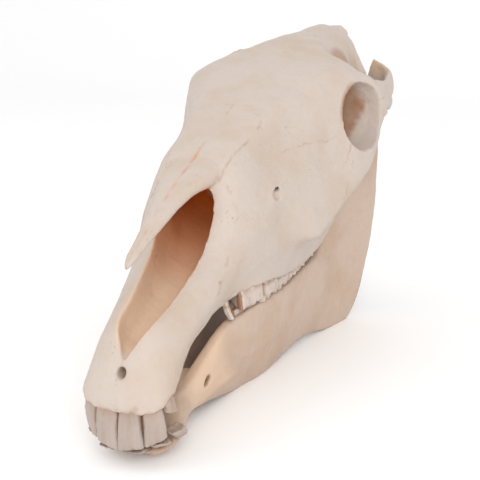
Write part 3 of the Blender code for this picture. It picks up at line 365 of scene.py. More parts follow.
def length(name, description, default, low=0.0, high=10.0):
    return FloatProperty(name=name, description=description, default=default, min=low, max=high,
                         unit="LENGTH", subtype="DISTANCE", precision=5)


def colour(name, description, default):
    return FloatVectorProperty(name=name, description=description, default=default, min=0.0, max=1.0,
                               size=3, subtype="COLOR")


def factor(name, description, default, high=1.0):
    return FloatProperty(name=name, description=description, default=default, min=0.0, max=high,
                         subtype="FACTOR")


class BoneSettings(PropertyGroup):
    """Sizes and colours of the bones."""
    skin: length("Skin detail", "Size of the finest facets of the bone surface", 0.0013, 0.0008, 0.004)
    draft_skin: length("Draft skin detail", "Size of the facets in a quick draft", 0.0022, 0.001, 0.006)
    swell: length("Swell", "Height of the slow unevenness of the bone", 0.00035, 0.0, 0.002)
    grain: length("Grain", "Height of the fine unevenness of the bone", 0.00010, 0.0, 0.001)
    suture_depth: length("Suture depth", "Depth of the seams between bones", 0.00025, 0.0, 0.002)
    gum_depth: length("Socket depth", "Depth of the groove round each tooth", 0.0008, 0.0, 0.003)
    ivory: colour("Ivory", "Main colour of the upper skull", (0.525, 0.448, 0.396))
    shade: colour("Warm shade", "Warmer patches of the upper skull", (0.500, 0.398, 0.318))
    jaw: colour("Jaw tan", "Main colour of the lower jaw", (0.530, 0.405, 0.325))
    jaw_shade: colour("Jaw shade", "Warmer patches of the lower jaw", (0.480, 0.345, 0.252))
    # Recess brown: dark brown of the seams and pores, and the painted shade in hollows, inner eye sockets and
    # a few shaded spots.
    painted_shade_and_stain: colour("Recess brown", "Colour of hollows, seams and the inner eye sockets", (0.30, 0.135, 0.05))
    # Cavity lining: also painted as warmer shade on the front of the fins of the cheek arches.
    lining_and_painted_shade: colour("Cavity lining", "Colour of the front of the nose and the inside of the mouth",
                   (0.64, 0.465, 0.335))
    deep: colour("Cavity orange", "Colour deep in the nose", (0.66, 0.19, 0.022))
    gloss: factor("Roughness", "Roughness of the bone", 0.5)


class ToothSettings(PropertyGroup):
    """Sizes and colours of the teeth."""
    ridge: length("Ridge height", "Height of the upright ridges on the cheek teeth", 0.0018, 0.0, 0.004)
    chip: length("Chipping", "Unevenness of the teeth", 0.00022, 0.0, 0.001)
    enamel: colour("Enamel", "Main colour of the cheek teeth", (0.600, 0.505, 0.445))
    # Incisor: the enamel darkened, as painted shade on the incisors.
    incisor: colour("Incisor", "Main colour of the incisors", (0.412, 0.335, 0.292))
    # Tooth stain: colour of the stained grooves, and of the painted shade on the front of the first cheek
    # tooth.
    stain: colour("Tooth stain", "Colour of the grooves in the teeth", (0.30, 0.155, 0.075))
    gloss: factor("Roughness", "Roughness of the teeth", 0.38)


class StudioSettings(PropertyGroup):
    """Floor, light and camera."""
    floor: colour("Floor", "Colour of the studio floor", (0.97, 0.97, 0.97))
    sky: factor("Sky light", "Strength of the light from all round", 0.97, 5.0)
    key: FloatProperty(name="Key light", description="Power of the large soft light", default=20.0, min=0.0,
                       unit="POWER")
    fill: FloatProperty(name="Fill light", description="Power of the light from the other side", default=5.0,
                        min=0.0, unit="POWER")
    lens: FloatProperty(name="Focal length", description="Focal length of the camera", default=67.5, min=10.0,
                        unit="CAMERA")


# --- curves and solids ---------------------------------------------------

def bell(value, middle, width):
    """A smooth bump of height 1 about middle."""
    return np.exp(-((value - middle) / width) ** 2)


def ramp(value, soft):
    """0 for a value up to 0, rising to 1 at soft and staying there."""
    return np.clip(value / soft, 0, 1)


def smooth(knots, at):
    """Values of a smooth curve, with no overshoot, through (station, value, ...) knots."""
    table = np.asarray(knots, float)
    s, v = table[:, 0], table[:, 1:]
    step = np.diff(s)
    slope = np.diff(v, axis=0) / step[:, None]
    tangent = np.zeros_like(v)
    before, after = slope[:-1], slope[1:]
    same = before * after > 0
    w1 = (2 * step[1:] + step[:-1])[:, None]
    w2 = (step[1:] + 2 * step[:-1])[:, None]
    with np.errstate(divide="ignore", invalid="ignore"):
        mean = (w1 + w2) / (w1 / before + w2 / after)
    tangent[1:-1] = np.where(same, mean, 0.0)
    tangent[0], tangent[-1] = slope[0], slope[-1]
    at = np.clip(np.atleast_1d(np.asarray(at, float)), s[0], s[-1])
    i = np.clip(np.searchsorted(s, at, side="right") - 1, 0, len(s) - 2)
    gap = step[i][:, None]
    t = ((at - s[i]) / step[i])[:, None]
    return ((2 * t**3 - 3 * t**2 + 1) * v[i] + (t**3 - 2 * t**2 + t) * gap * tangent[i]
            + (3 * t**2 - 2 * t**3) * v[i + 1] + (t**3 - t**2) * gap * tangent[i + 1])


def closed_curve(points, per_side):
    """A closed curve through 2-D points, sampled per_side times between each two."""
    loop = np.vstack([points[-3:], points, points[:3]])
    gaps = np.sqrt(np.linalg.norm(np.diff(loop, axis=0), axis=1)) + 1e-6
    s = np.concatenate([[0], np.cumsum(gaps)])
    at = np.concatenate([np.linspace(s[i], s[i + 1], per_side, endpoint=False)
                         for i in range(3, 3 + len(points))])
    return smooth(np.column_stack([s, loop]), at)


def to_world(points):
    """Skull-frame millimetres to world metres."""
    x, p, h = np.asarray(points, float).reshape(-1, 3).T
    c, s = math.cos(REST_TILT), math.sin(REST_TILT)
    return (np.column_stack([x, p * c - h * s, p * s + h * c]) + REST_SHIFT) * MM


def to_skull(points):
    """World metres to skull-frame millimetres, as x, p and h."""
    x, y, z = (np.asarray(points, float).reshape(-1, 3) / MM - REST_SHIFT).T
    c, s = math.cos(REST_TILT), math.sin(REST_TILT)
    return x, y * c + z * s, z * c - y * s


def mesh_object(name, points, faces, world=False):
    """A mesh object with its faces turned outwards."""
    mesh = bpy.data.meshes.new(name)
    mesh.from_pydata([tuple(p) for p in (points if world else to_world(points))], [], faces)
    shape = bmesh.new()
    shape.from_mesh(mesh)
    bmesh.ops.recalc_face_normals(shape, faces=shape.faces)
    shape.to_mesh(mesh)
    shape.free()
    item = bpy.data.objects.new(name, mesh)
    bpy.context.scene.collection.objects.link(item)
    return item


def ring_faces(count, size, start=0):
    """Faces of a closed loft of count rings with size points each."""
    faces = []
    for i in range(count - 1):
        for j in range(size):
            k = (j + 1) % size
            corners = (i * size + j, i * size + k, (i + 1) * size + k, (i + 1) * size + j)
            faces.append(tuple(start + n for n in corners))
    faces.append(tuple(start + j for j in range(size)))
    faces.append(tuple(start + (count - 1) * size + j for j in range(size)))
    return faces


def loft(name, rings):
    """A closed solid through equal rings of 3-D points, with flat ends."""
    return mesh_object(name, np.vstack(rings), ring_faces(len(rings), len(rings[0])))


def rail_loft(name, rails, step, per_side):
    """A loft whose sections pass through the rails, mirrored about the midline."""
    start, end = rails[0][0][0], rails[0][-1][0]
    rings = []
    for p in np.linspace(start, end, int((end - start) / step) + 1):
        left = np.array([smooth(rail, p)[0] for rail in rails])
        right = left[-2:0:-1] * (-1, 1)
        section = closed_curve(np.vstack([left, right]), per_side)
        rings.append(np.column_stack([section[:, 0], np.full(len(section), p), section[:, 1]]))
    return loft(name, rings)


def oval(centre, across, up, power=2.0, sides=28):
    """A ring about centre with two half-axis vectors; a higher power is squarer."""
    turn = np.linspace(0, 2 * math.pi, sides, endpoint=False)
    c, s = np.cos(turn), np.sin(turn)
    c = np.sign(c) * np.abs(c) ** (2 / power)
    s = np.sign(s) * np.abs(s) ** (2 / power)
    return np.asarray(centre, float) + np.outer(c, across) + np.outer(s, up)


def tube(name, stations, power=2.0, sides=28, mirror=1):
    """A loft of ovals: (centre, across vector, up vector) at each station."""
    flip = np.array([mirror, 1, 1])
    rings = [oval(np.array(c) * flip, np.array(a) * flip, np.array(u) * flip, power, sides)
             for c, a, u in stations]
    return loft(name, rings)


def ball(name, centre, radii, turn=0.0, mirror=1):
    """An ellipsoid, turned about the vertical axis by turn degrees."""
    shape = bmesh.new()
    bmesh.ops.create_uvsphere(shape, u_segments=32, v_segments=18, radius=1.0)
    flip = Matrix.Diagonal((mirror, 1, 1, 1))
    spot = Matrix.Translation(Vector(centre))
    move = flip @ spot @ Matrix.Rotation(math.radians(turn), 4, "Z") @ Matrix.Diagonal((*radii, 1))
    bmesh.ops.transform(shape, matrix=move, verts=shape.verts)
    points = [tuple(v.co) for v in shape.verts]
    faces = [tuple(v.index for v in f.verts) for f in shape.faces]
    shape.free()
    return mesh_object(name, points, faces)


def resample(stations, count):
    """More stations along a table, by a smooth curve through its rows."""
    table = np.array([np.hstack(row) for row in stations], float)
    steps = np.arange(len(table))
    return smooth(np.column_stack([steps, table]), np.linspace(0, len(table) - 1, count))


def fan(name, stations, mirror=1, count=72, sides=32):
    """A plate that turns a corner: inner end, outer end and half thickness at each station."""
    rows = resample(stations, count)
    turn = np.linspace(0, 2 * math.pi, sides, endpoint=False)
    along = (1 - np.cos(turn)) / 2
    side = np.sign(np.sin(turn)) * np.abs(np.sin(turn)) ** 0.55
    rings = []
    for row in rows:
        inner, outer, (t0, t1, t2) = row[:3], row[3:6], row[6:9]
        thick = np.where(along < 0.5, t0 + (t1 - t0) * along * 2, t1 + (t2 - t1) * (along * 2 - 1))
        ring = inner + np.outer(along, outer - inner)
        ring[:, 0] += side * thick
        ring[:, 0] *= mirror
        rings.append(ring)
    return loft(name, rings)


def prism(name, outline, low_x, high_x):
    """A solid over an outline of (p, h) corners, from low_x to high_x."""
    return loft(name, [[(x, p, h) for p, h in outline] for x in (low_x, high_x)])


def apply_modifiers(item):
    """Replace an object's mesh by its evaluated one."""
    graph = bpy.context.evaluated_depsgraph_get()
    mesh = bpy.data.meshes.new_from_object(item.evaluated_get(graph))
    old = item.data
    item.modifiers.clear()
    item.data = mesh
    bpy.data.meshes.remove(old)


def boolean(target, others, operation):
    """Join the others to the target or cut them out of it."""
    for other in others:
        step = target.modifiers.new("cut", "BOOLEAN")
        step.operation = operation
        step.solver = "EXACT"
        step.object = other
        apply_modifiers(target)
        bpy.data.objects.remove(other)
    return target


def join(target, others):
    """Join the others to the target."""
    return boolean(target, others, "UNION")


def carve(target, others):
    """Cut the others out of the target."""
    return boolean(target, others, "DIFFERENCE")


def both(make, *args):
    """The same part on the left and on the right."""
    return [make(*args, mirror=side) for side in (1, -1)]


# --- upper skull ---------------------------------------------------------

def nasal_roof():
    """The free front of the nasal bones."""
    places = np.linspace(NASAL_SPIKE[0][0], NASAL_SPIKE[-1][0], 40)
    spots = [((0, p, top - thick / 2 - wide * 0.12), (wide, 0, 0), (0, 0, thick / 2 + wide * 0.12))
             for p, (wide, top, thick) in zip(places, smooth(NASAL_SPIKE, places))]
    return tube("nasal_roof", spots, 2.3, 32)


def midline_tube(name, table, count, power, sides):
    """A tube along the midline through (p, half width, low h, high h) rows."""
    places = np.linspace(table[0][0], table[-1][0], count)
    spots = [((0, p, (low + high) / 2), (wide, 0, 0), (0, 0, (high - low) / 2))
             for p, (wide, low, high) in zip(places, smooth(table, places))]
    return tube(name, spots, power, sides)


def cheek_arch(mirror=1):
    """The cheek arch, from the cheek crest back to the ear."""
    rise = RIGHT_FIN_RISE if mirror < 0 else 0.0
    rows = []
    for low, high, thick in ARCH_FAN:
        lift = rise * max(0.0, min(1.0, (high[2] - FIN_FROM) / FIN_SPAN))
        rows.append((low, (high[0], high[1] + lift * 0.5, high[2] + lift), thick))
    return fan("cheek_arch", rows, mirror, 64, 28)


def brow_bar(mirror=1):
    """The bar that closes the eye socket behind."""
    spots = [((x, p, h), (sx, 0, sx * 0.3), (0, sp, 0)) for x, p, h, sp, sx in resample(BROW_BAR, 28)]
    return tube("brow_bar", spots, 2.2, 24, mirror)


def brow_shelf(mirror=1):
    """The shelf between the brow bar and the cheek arch."""
    spots = [((x, p, h), (w, 0, 0), (0, 0, t)) for x, p, h, w, t in resample(BROW_SHELF, 14)]
    return tube("brow_shelf", spots, 2.6, 24, mirror)


def eye_socket(mirror=1):
    """Cutter for the cup of the eye, which leans a little."""
    spots = [(c, (0.33 * a, a, 0), (0, 0.12 * b, b)) for c, a, b in EYE_SOCKET]
    return tube("eye_socket", spots, 2.2, 40, mirror)


def temple_space(mirror=1):
    """Cutter for the space between the braincase and the cheek arch."""
    return tube("temple_space", [(c, (a, 0, 0), (0, b, 0)) for c, a, b in TEMPLE_SPACE], 2.6, 32, mirror)


def side_cut(name, mirror=1):
    """Cutter below the cheek arch or the braincase."""
    outline, inner, outer = SIDE_CUTS[name]
    return prism(name, outline, *sorted((mirror * inner, mirror * outer)))


def inner_passage():
    """Cutter for the way from the nose down behind the palate."""
    spots = [((0, p, h), (w, 0, 0), (0, 0, r)) for p, h, w, r in INNER_PASSAGE]
    return tube("inner_passage", spots, 2.6, 28)


def rim_bite(p, h, r):
    """Cutter for a small ragged bite in the front rim of the left eye socket."""
    return tube("bite", (((96, p + 4, h + 0.6), (0, r * 1.3, 0), (0, 0, r)),
                         ((78, p - 2, h - 0.6), (0, r, 0), (0, 0, r * 0.7))), 2, 14)


def small_openings():
    """Cutters for the holes of vessels, ear and spine."""
    cutters = []
    for side in (1, -1):
        cutters.append(ball("cheek_foramen", *CHEEK_FORAMEN, mirror=side))
        cutters.append(tube("cheek_canal", CHEEK_CANAL, 2, 16, side))
        cutters.append(ball("ear_passage", *EAR_PASSAGE, mirror=side))
    cutters.append(tube("spinal_opening", SPINAL_OPENING, 2.2, 28))
    cutters.append(tube("incisor_foramen", INCISOR_FORAMEN, 2, 18))
    return cutters


def temple_crest(mirror=1):
    """The ridge that runs down and out from the nape."""
    spots = [(c, (0.88 * a, 0.48 * a, 0), (0, 0, b)) for c, a, b in TEMPLE_CREST]
    return tube("temple_crest", spots, 2.2, 24, mirror)


def base_parts():
    """The knobs, wings and processes below and behind the braincase."""
    parts = []
    for side in (1, -1):
        parts.append(ball("skull_condyle", *SKULL_CONDYLE, side))
        parts.append(tube("jugular_process", JUGULAR_PROCESS, 2.2, 24, side))
        parts.append(ball("ear_base", *EAR_BASE, mirror=side))
        parts.append(tube("palate_wing", PALATE_WING, 2.4, 24, side))
        parts.append(tube("jaw_seat", JAW_SEAT, 2.2, 24, side))
    parts.append(tube("nape_crest", NAPE_CREST, 2.2, 24))
    return parts


def upper_skull():
    """The whole upper skull without its teeth, as one closed solid."""
    skull = rail_loft("upper_skull", FACE_RAILS, 6, 6)
    join(skull, [nasal_roof()])
    join(skull, both(cheek_arch) + both(brow_bar))
    carve(skull, [piece for name in SIDE_CUTS for piece in both(side_cut, name)])
    carve(skull, both(eye_socket) + both(temple_space))
    join(skull, both(brow_shelf))
    join(skull, [rail_loft("flat", FLAT_RAILS, 6, 6)])
    join(skull, [rail_loft("braincase", BRAINCASE_RAILS, 6, 8)])
    join(skull, both(temple_crest) + base_parts())
    carve(skull, [midline_tube("nasal_cavity", NASAL_CAVITY, 44, 2.8, 40), inner_passage()] + small_openings()
          + [rim_bite(*row) for row in RIM_BITES])
    return skull


def lower_jaw():
    """The whole lower jaw without its teeth, as one closed solid."""
    jaw = midline_tube("lower_jaw", CHIN, 22, 2.6, 36)
    join(jaw, both(fan, "jaw_body", JAW_FAN))
    join(jaw, both(lambda mirror: fan("coronoid", CORONOID_FAN, mirror, 24, 24)))
    join(jaw, both(ball, "jaw_condyle", *JAW_CONDYLE))
    carve(jaw, [tube("tongue_space", TONGUE_SPACE, 2.4, 28)])
    carve(jaw, both(lambda mirror: tube("chin_foramen", CHIN_FORAMEN, 2, 18, mirror)))
    return jaw


# --- fine skin -----------------------------------------------------------

def waves(points, size, seed):
    """Slow random unevenness between about -1 and 1, with bumps of the given size in millimetres."""
    rng = np.random.default_rng(seed)
    total = np.zeros(len(points))
    for _ in range(18):
        way = rng.normal(size=3)
        way *= rng.uniform(0.6, 1.5) * 2 * math.pi / size / np.linalg.norm(way)
        total += np.sin(points @ way + rng.uniform(0, 2 * math.pi))
    return total / 5.2


def near_line(points, line):
    """Distance in millimetres from each point to a line through 3-D corners."""
    best = np.full(len(points), 1e9)
    for a, b in zip(line[:-1], line[1:]):
        a, way = np.array(a, float), np.array(b, float) - np.array(a, float)
        t = np.clip((points - a) @ way / (way @ way), 0, 1)
        best = np.minimum(best, np.linalg.norm(points - a - t[:, None] * way, axis=1))
    return best


def inside_outline(p, h, outline):
    """Signed distance from an outline of (p, h) corners, negative inside."""
    best = np.full(len(p), 1e9)
    inside = np.zeros(len(p), bool)
    for (p0, h0), (p1, h1) in zip(outline, outline[1:] + outline[:1]):
        dp, dh = p1 - p0, h1 - h0
        t = np.clip(((p - p0) * dp + (h - h0) * dh) / (dp * dp + dh * dh), 0, 1)
        best = np.minimum(best, np.hypot(p - p0 - t * dp, h - h0 - t * dh))
        if dh:
            inside ^= ((h0 > h) != (h1 > h)) & (p < p0 + (h - h0) * dp / dh)
    return np.where(inside, -best, best)


class Skin:
    """The fine surface of one whole, as arrays: points, faces, and marks per point."""

    def __init__(self, item, voxel, rounds):
        cover = item.modifiers.new("skin", "REMESH")
        cover.mode = "VOXEL"
        cover.voxel_size = voxel
        ease = item.modifiers.new("ease", "SMOOTH")
        ease.factor = 0.5
        ease.iterations = rounds
        apply_modifiers(item)
        mesh = item.data
        count = len(mesh.vertices)
        self.points = np.empty(count * 3)
        mesh.vertices.foreach_get("co", self.points)
        self.points = self.points.reshape(-1, 3)
        corners = np.empty(len(mesh.loops), np.int64)
        mesh.loops.foreach_get("vertex_index", corners)
        self.quads = corners.reshape(-1, 4)
        edges = np.empty(len(mesh.edges) * 2, np.int64)
        mesh.edges.foreach_get("vertices", edges)
        self.edges = edges.reshape(-1, 2)
        self.links = np.bincount(self.edges.ravel(), minlength=count)
        self.marks = {mark: np.zeros(count) for mark in ("painted_shade_and_stain", "seam", "lining_and_painted_shade", "deep")}
        bpy.data.objects.remove(item)

    def averaged(self, values, rounds):
        """Each value pulled half way towards the mean of its neighbours, several times over."""
        a, b = self.edges.T
        values = values.copy()
        for _ in range(rounds):
            total = np.empty_like(values)
            for k in range(values.shape[1]):
                total[:, k] = (np.bincount(a, values[b, k], len(values))
                               + np.bincount(b, values[a, k], len(values)))
            values += 0.5 * (total / self.links[:, None] - values)
        return values

    def normals(self):
        """Direction out of the surface at each point."""
        corner = self.points[self.quads]
        face = np.cross(corner[:, 2] - corner[:, 0], corner[:, 3] - corner[:, 1])
        total = np.empty_like(self.points)
        for k in range(3):
            total[:, k] = sum(np.bincount(self.quads[:, j], face[:, k], len(self.points)) for j in range(4))
        return total / (np.linalg.norm(total, axis=1)[:, None] + 1e-12)

    def hollowness(self, rounds):
        """How far each point lies in a hollow, in millimetres."""
        pull = self.averaged(self.points, rounds) - self.points
        return np.einsum("ij,ij->i", pull, self.normals()) / MM

    def raise_by(self, height):
        """Move the points along their normals, by a height in metres."""
        self.points += self.normals() * np.asarray(height)[:, None]

    def add_mark(self, mark, amount):
        """Strengthen a mark to an amount at each point, where it is weaker."""
        self.marks[mark] = np.maximum(self.marks[mark], amount)

    def skull_points(self):
        """The points in the skull frame, in millimetres."""
        return np.column_stack(to_skull(self.points))

    def skull_normals(self):
        """The normals in the skull frame."""
        x, y, z = self.normals().T
        c, s = math.cos(REST_TILT), math.sin(REST_TILT)
        return np.column_stack([x, y * c + z * s, z * c - y * s])

    def uneven(self, settings, seed):
        """Slow and fine unevenness of the whole surface."""
        at = self.skull_points()
        fine = waves(at, 9, seed + 1) + 0.6 * waves(at, 4.5, seed + 2)
        self.raise_by(settings.swell * waves(at, 34, seed) + settings.grain * fine)

    def paint_shade_in_hollows(self, strength):
        """Painted shade: brown in the hollows, more where they are deeper."""
        self.marks["painted_shade_and_stain"] = ramp(self.hollowness(40) - 0.35, 2.2) * strength

    def cut_seam(self, seam, settings):
        """A fine groove where two bones meet."""
        self.raise_by(-settings.suture_depth * seam)
        self.marks["seam"] = 0.5 * seam

    def socket_teeth(self, names, depth):
        """Lower and darken the bone in a narrow band round each tooth."""
        for name in names:
            teeth = bpy.data.objects.get(name)
            if teeth is None:
                raise RuntimeError(f"make {name} before its bone")
            corners = np.array([v.co for v in teeth.data.vertices])
            low, high = corners.min(axis=0) - TOOTH_MARGIN, corners.max(axis=0) + TOOTH_MARGIN
            close = np.flatnonzero(((self.points > low) & (self.points < high)).all(axis=1))
            tree = BVHTree.FromObject(teeth, bpy.context.evaluated_depsgraph_get())
            gap = np.full(len(self.points), 1.0)
            for i in close:
                found = tree.find_nearest(self.points[i], TOOTH_REACH)
                if found[0] is not None:
                    gap[i] = found[3]
            self.raise_by(-depth * np.exp(-(gap / GROOVE_WIDTH) ** 2))
            self.add_mark("seam", 0.75 * np.exp(-(gap / NECK_WIDTH) ** 2))

    def piece(self, name, keep, material, node, slot):
        """One bone from the faces that keep marks, with the whole surface's shading."""
        quads = self.quads[keep]
        used, local = np.unique(quads, return_inverse=True)
        mesh = bpy.data.meshes.new(name)
        mesh.vertices.add(len(used))
        mesh.vertices.foreach_set("co", self.points[used].ravel())
        mesh.loops.add(quads.size)
        mesh.loops.foreach_set("vertex_index", local.ravel().astype(np.int32))
        mesh.polygons.add(len(quads))
        mesh.polygons.foreach_set("loop_start", np.arange(0, quads.size, 4, dtype=np.int32))
        mesh.polygons.foreach_set("loop_total", np.full(len(quads), 4, dtype=np.int32))
        mesh.update(calc_edges=True)
        mesh.validate()
        mesh.shade_smooth()
        mesh.normals_split_custom_set_from_vertices(self.normals()[used])
        for mark, values in self.marks.items():
            layer = mesh.attributes.new(mark, "FLOAT", "POINT")
            layer.data.foreach_set("value", np.clip(values[used], 0, 1).astype(np.float32))
        mesh.materials.append(material)
        item = bpy.data.objects.new(name, mesh)
        bpy.context.scene.collection.objects.link(item)
        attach(item, "root")
        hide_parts(node)
        return item


# --- materials -----------------------------------------------------------

class Nodes:
    """Short calls for the nodes of one material."""

    def __init__(self, name):
        self.material = bpy.data.materials.new(name)
        self.material.use_nodes = True
        self.tree = self.material.node_tree
        self.surface = self.tree.nodes["Principled BSDF"]
        self.place = self.add("ShaderNodeTexCoord").outputs["Object"]

    def add(self, kind, **values):
        node = self.tree.nodes.new(kind)
        for key, value in values.items():
            setattr(node, key, value)
        return node

    def link(self, output, socket):
        self.tree.links.new(output, socket)

    def noise(self, scale, detail=3.0, rough=0.5, stretch=None):
        """Soft noise of scale waves to the metre, stretched along the skull's own directions if asked."""
        node = self.add("ShaderNodeTexNoise")
        node.inputs["Scale"].default_value = scale
        node.inputs["Detail"].default_value = detail
        node.inputs["Roughness"].default_value = rough
        place = self.place
        if stretch:
            mapping = self.add("ShaderNodeMapping")
            mapping.inputs["Rotation"].default_value = (-REST_TILT, 0, 0)
            mapping.inputs["Scale"].default_value = stretch
            self.link(self.place, mapping.inputs["Vector"])
            place = mapping.outputs["Vector"]
        self.link(place, node.inputs["Vector"])
        return node.outputs["Fac"]

    def span(self, value, low, high, out_low=0.0, out_high=1.0):
        """A value from low to high, stretched to run from out_low to out_high."""
        node = self.add("ShaderNodeMapRange")
        self.link(value, node.inputs["Value"])
        for key, number in (("From Min", low), ("From Max", high), ("To Min", out_low), ("To Max", out_high)):
            node.inputs[key].default_value = number
        return node.outputs["Result"]

    def maths(self, operation, a, b):
        node = self.add("ShaderNodeMath", operation=operation)
        for socket, value in zip(node.inputs, (a, b)):
            if isinstance(value, (int, float)):
                socket.default_value = value
            else:
                self.link(value, socket)
        return node.outputs["Value"]

    def mark(self, name):
        """One of the marks that the mesh carries at its points."""
        return self.add("ShaderNodeAttribute", attribute_name=name).outputs["Fac"]

    def mix(self, amount, base, top):
        """One colour over another."""
        node = self.add("ShaderNodeMix", data_type="RGBA")
        self.link(amount, node.inputs["Factor"])
        for socket, value in ((node.inputs[6], base), (node.inputs[7], top)):
            if isinstance(value, bpy.types.NodeSocket):
                self.link(value, socket)
            else:
                socket.default_value = (*value, 1.0)
        return node.outputs[2]

    def bump(self, layers, distance):
        """A height from (value, strength) layers."""
        total = None
        for value, strength in layers:
            part = self.maths("MULTIPLY", value, strength)
            total = part if total is None else self.maths("ADD", total, part)
        node = self.add("ShaderNodeBump")
        node.inputs["Distance"].default_value = distance
        self.link(total, node.inputs["Height"])
        self.link(node.outputs["Normal"], self.surface.inputs["Normal"])


def bone_material(name, main, shade, settings):
    """Dry bone: mottled ivory, browner seams, pores and fine cracks, and painted shade, brown, in its hollows
    and eye sockets.
    """
    n = Nodes(name)
    patches = n.span(n.noise(16, 4, 0.6), 0.46, 0.68)
    tone = n.mix(patches, main, shade)
    tone = n.mix(n.span(n.noise(150, 3, 0.6), 0.52, 0.80, 0.0, 0.45), tone, shade)
    # Painted shade: hollows, inner eye sockets and a few shaded spots are mixed towards the recess brown.
    tone = n.mix(n.maths("MULTIPLY", n.mark("painted_shade_and_stain"), 0.95), tone, settings.painted_shade_and_stain)
    # The lining colour, also painted as shade on the front of the fins of the cheek arches.
    tone = n.mix(n.mark("lining_and_painted_shade"), tone, settings.lining_and_painted_shade)
    tone = n.mix(n.mark("deep"), tone, settings.deep)
    worn = n.span(n.noise(210, 2, 0.5), 0.30, 0.62)
    tone = n.mix(n.maths("MULTIPLY", n.mark("seam"), worn), tone, settings.painted_shade_and_stain)
    speck = n.add("ShaderNodeTexVoronoi")
    speck.inputs["Scale"].default_value = 330
    n.link(n.place, speck.inputs["Vector"])
    pores = n.span(speck.outputs["Distance"], 0.05, 0.20, 1.0, 0.0)
    sparse = n.maths("MULTIPLY", pores, n.span(n.noise(55, 2, 0.5), 0.52, 0.66))
    tone = n.mix(n.maths("MULTIPLY", sparse, 0.35), tone, settings.painted_shade_and_stain)
    n.link(tone, n.surface.inputs["Base Color"])
    rough = n.span(n.noise(90, 3, 0.6), 0.3, 0.7, settings.gloss - 0.06, settings.gloss + 0.14)
    n.link(rough, n.surface.inputs["Roughness"])
    n.surface.inputs["Specular IOR Level"].default_value = 0.35
    n.bump(((n.noise(420, 4, 0.65), 0.5), (n.noise(1500, 2, 0.6), 0.22), (sparse, -0.7),
            (n.noise(260, 3, 0.6, (1.0, 0.16, 1.0)), 0.35)), 0.0006)
    return n.material


def tooth_material(name, main, settings):
    """Enamel with duller patches, browner grooves and upright growth lines, and painted shade on the front of
    the first cheek tooth.
    """
    n = Nodes(name)
    dull = [0.87 * part for part in main]
    tone = n.mix(n.span(n.noise(80, 4, 0.6, (1.0, 1.0, 0.4)), 0.42, 0.66), main, dull)
    # Stained grooves, and painted shade on the front of the first cheek tooth.
    grooves = n.maths("MULTIPLY", n.mark("painted_shade_and_stain"), n.span(n.noise(190, 3, 0.6), 0.25, 0.65))
    tone = n.mix(grooves, tone, settings.stain)
    tone = n.mix(n.maths("MULTIPLY", n.mark("seam"), 0.85), tone, settings.stain)
    n.link(tone, n.surface.inputs["Base Color"])
    rough = n.span(n.noise(160, 3, 0.6), 0.3, 0.7, settings.gloss - 0.08, settings.gloss + 0.14)
    n.link(rough, n.surface.inputs["Roughness"])
    n.surface.inputs["Specular IOR Level"].default_value = 0.5
    n.bump(((n.noise(900, 3, 0.6, (1.0, 1.0, 0.12)), 0.6), (n.noise(420, 3, 0.6), 0.3)), 0.0004)
    return n.material


def plain_material(name, tone, rough):
    """Matte studio paint with a very faint unevenness."""
    n = Nodes(name)
    n.surface.inputs["Base Color"].default_value = (*tone, 1.0)
    n.link(n.span(n.noise(3, 2, 0.5), 0.3, 0.7, rough - 0.05, rough + 0.05), n.surface.inputs["Roughness"])
    return n.material


# --- teeth ---------------------------------------------------------------

def gum_height(p):
    """Height of the upper gum above p."""
    rail = np.array(GUM_LINE)
    return smooth(rail[:, [0, 2]], p)[0][0]


def bite_height(p):
    """Height of the bite at p."""
    return smooth(BITE_LINE, p)[0][0]


def squared_ring(count, power):
    """Unit section of a rounded rectangle: positions across and along."""
    turn = np.linspace(0, 2 * math.pi, count, endpoint=False)
    c, s = np.cos(turn), np.sin(turn)
    return (np.sign(c) * np.abs(c) ** (2 / power), np.sign(s) * np.abs(s) ** (2 / power))


def teeth_object(name, teeth, chip, seed, material, nodes):
    """One object from teeth given as lists of rings, with stained grooves and necks."""
    points, faces, painted_shade_and_stain, seam = [], [], [], []
    start = 0
    for rings, dips, necks in teeth:
        faces += ring_faces(len(rings), len(rings[0]), start)
        points.append(np.vstack(rings))
        painted_shade_and_stain.append(np.hstack(dips))
        seam.append(np.hstack(necks))
        start += len(points[-1])
    points = np.vstack(points)
    rough = np.column_stack([waves(points, 5, seed + k) + 0.6 * waves(points, 2.4, seed + 7 + k)
                             for k in range(3)])
    item = mesh_object(name, points + rough * chip / MM, faces)
    mesh = item.data
    for mark, values in (("painted_shade_and_stain", painted_shade_and_stain), ("seam", seam)):
        layer = mesh.attributes.new(mark, "FLOAT", "POINT")
        layer.data.foreach_set("value", np.clip(np.hstack(values), 0, 1).astype(np.float32))
    mesh.materials.append(material)
    mesh.shade_smooth()
    mesh.set_sharp_from_angle(angle=math.radians(50))
    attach(item, "root")
    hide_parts(*nodes)
    return item


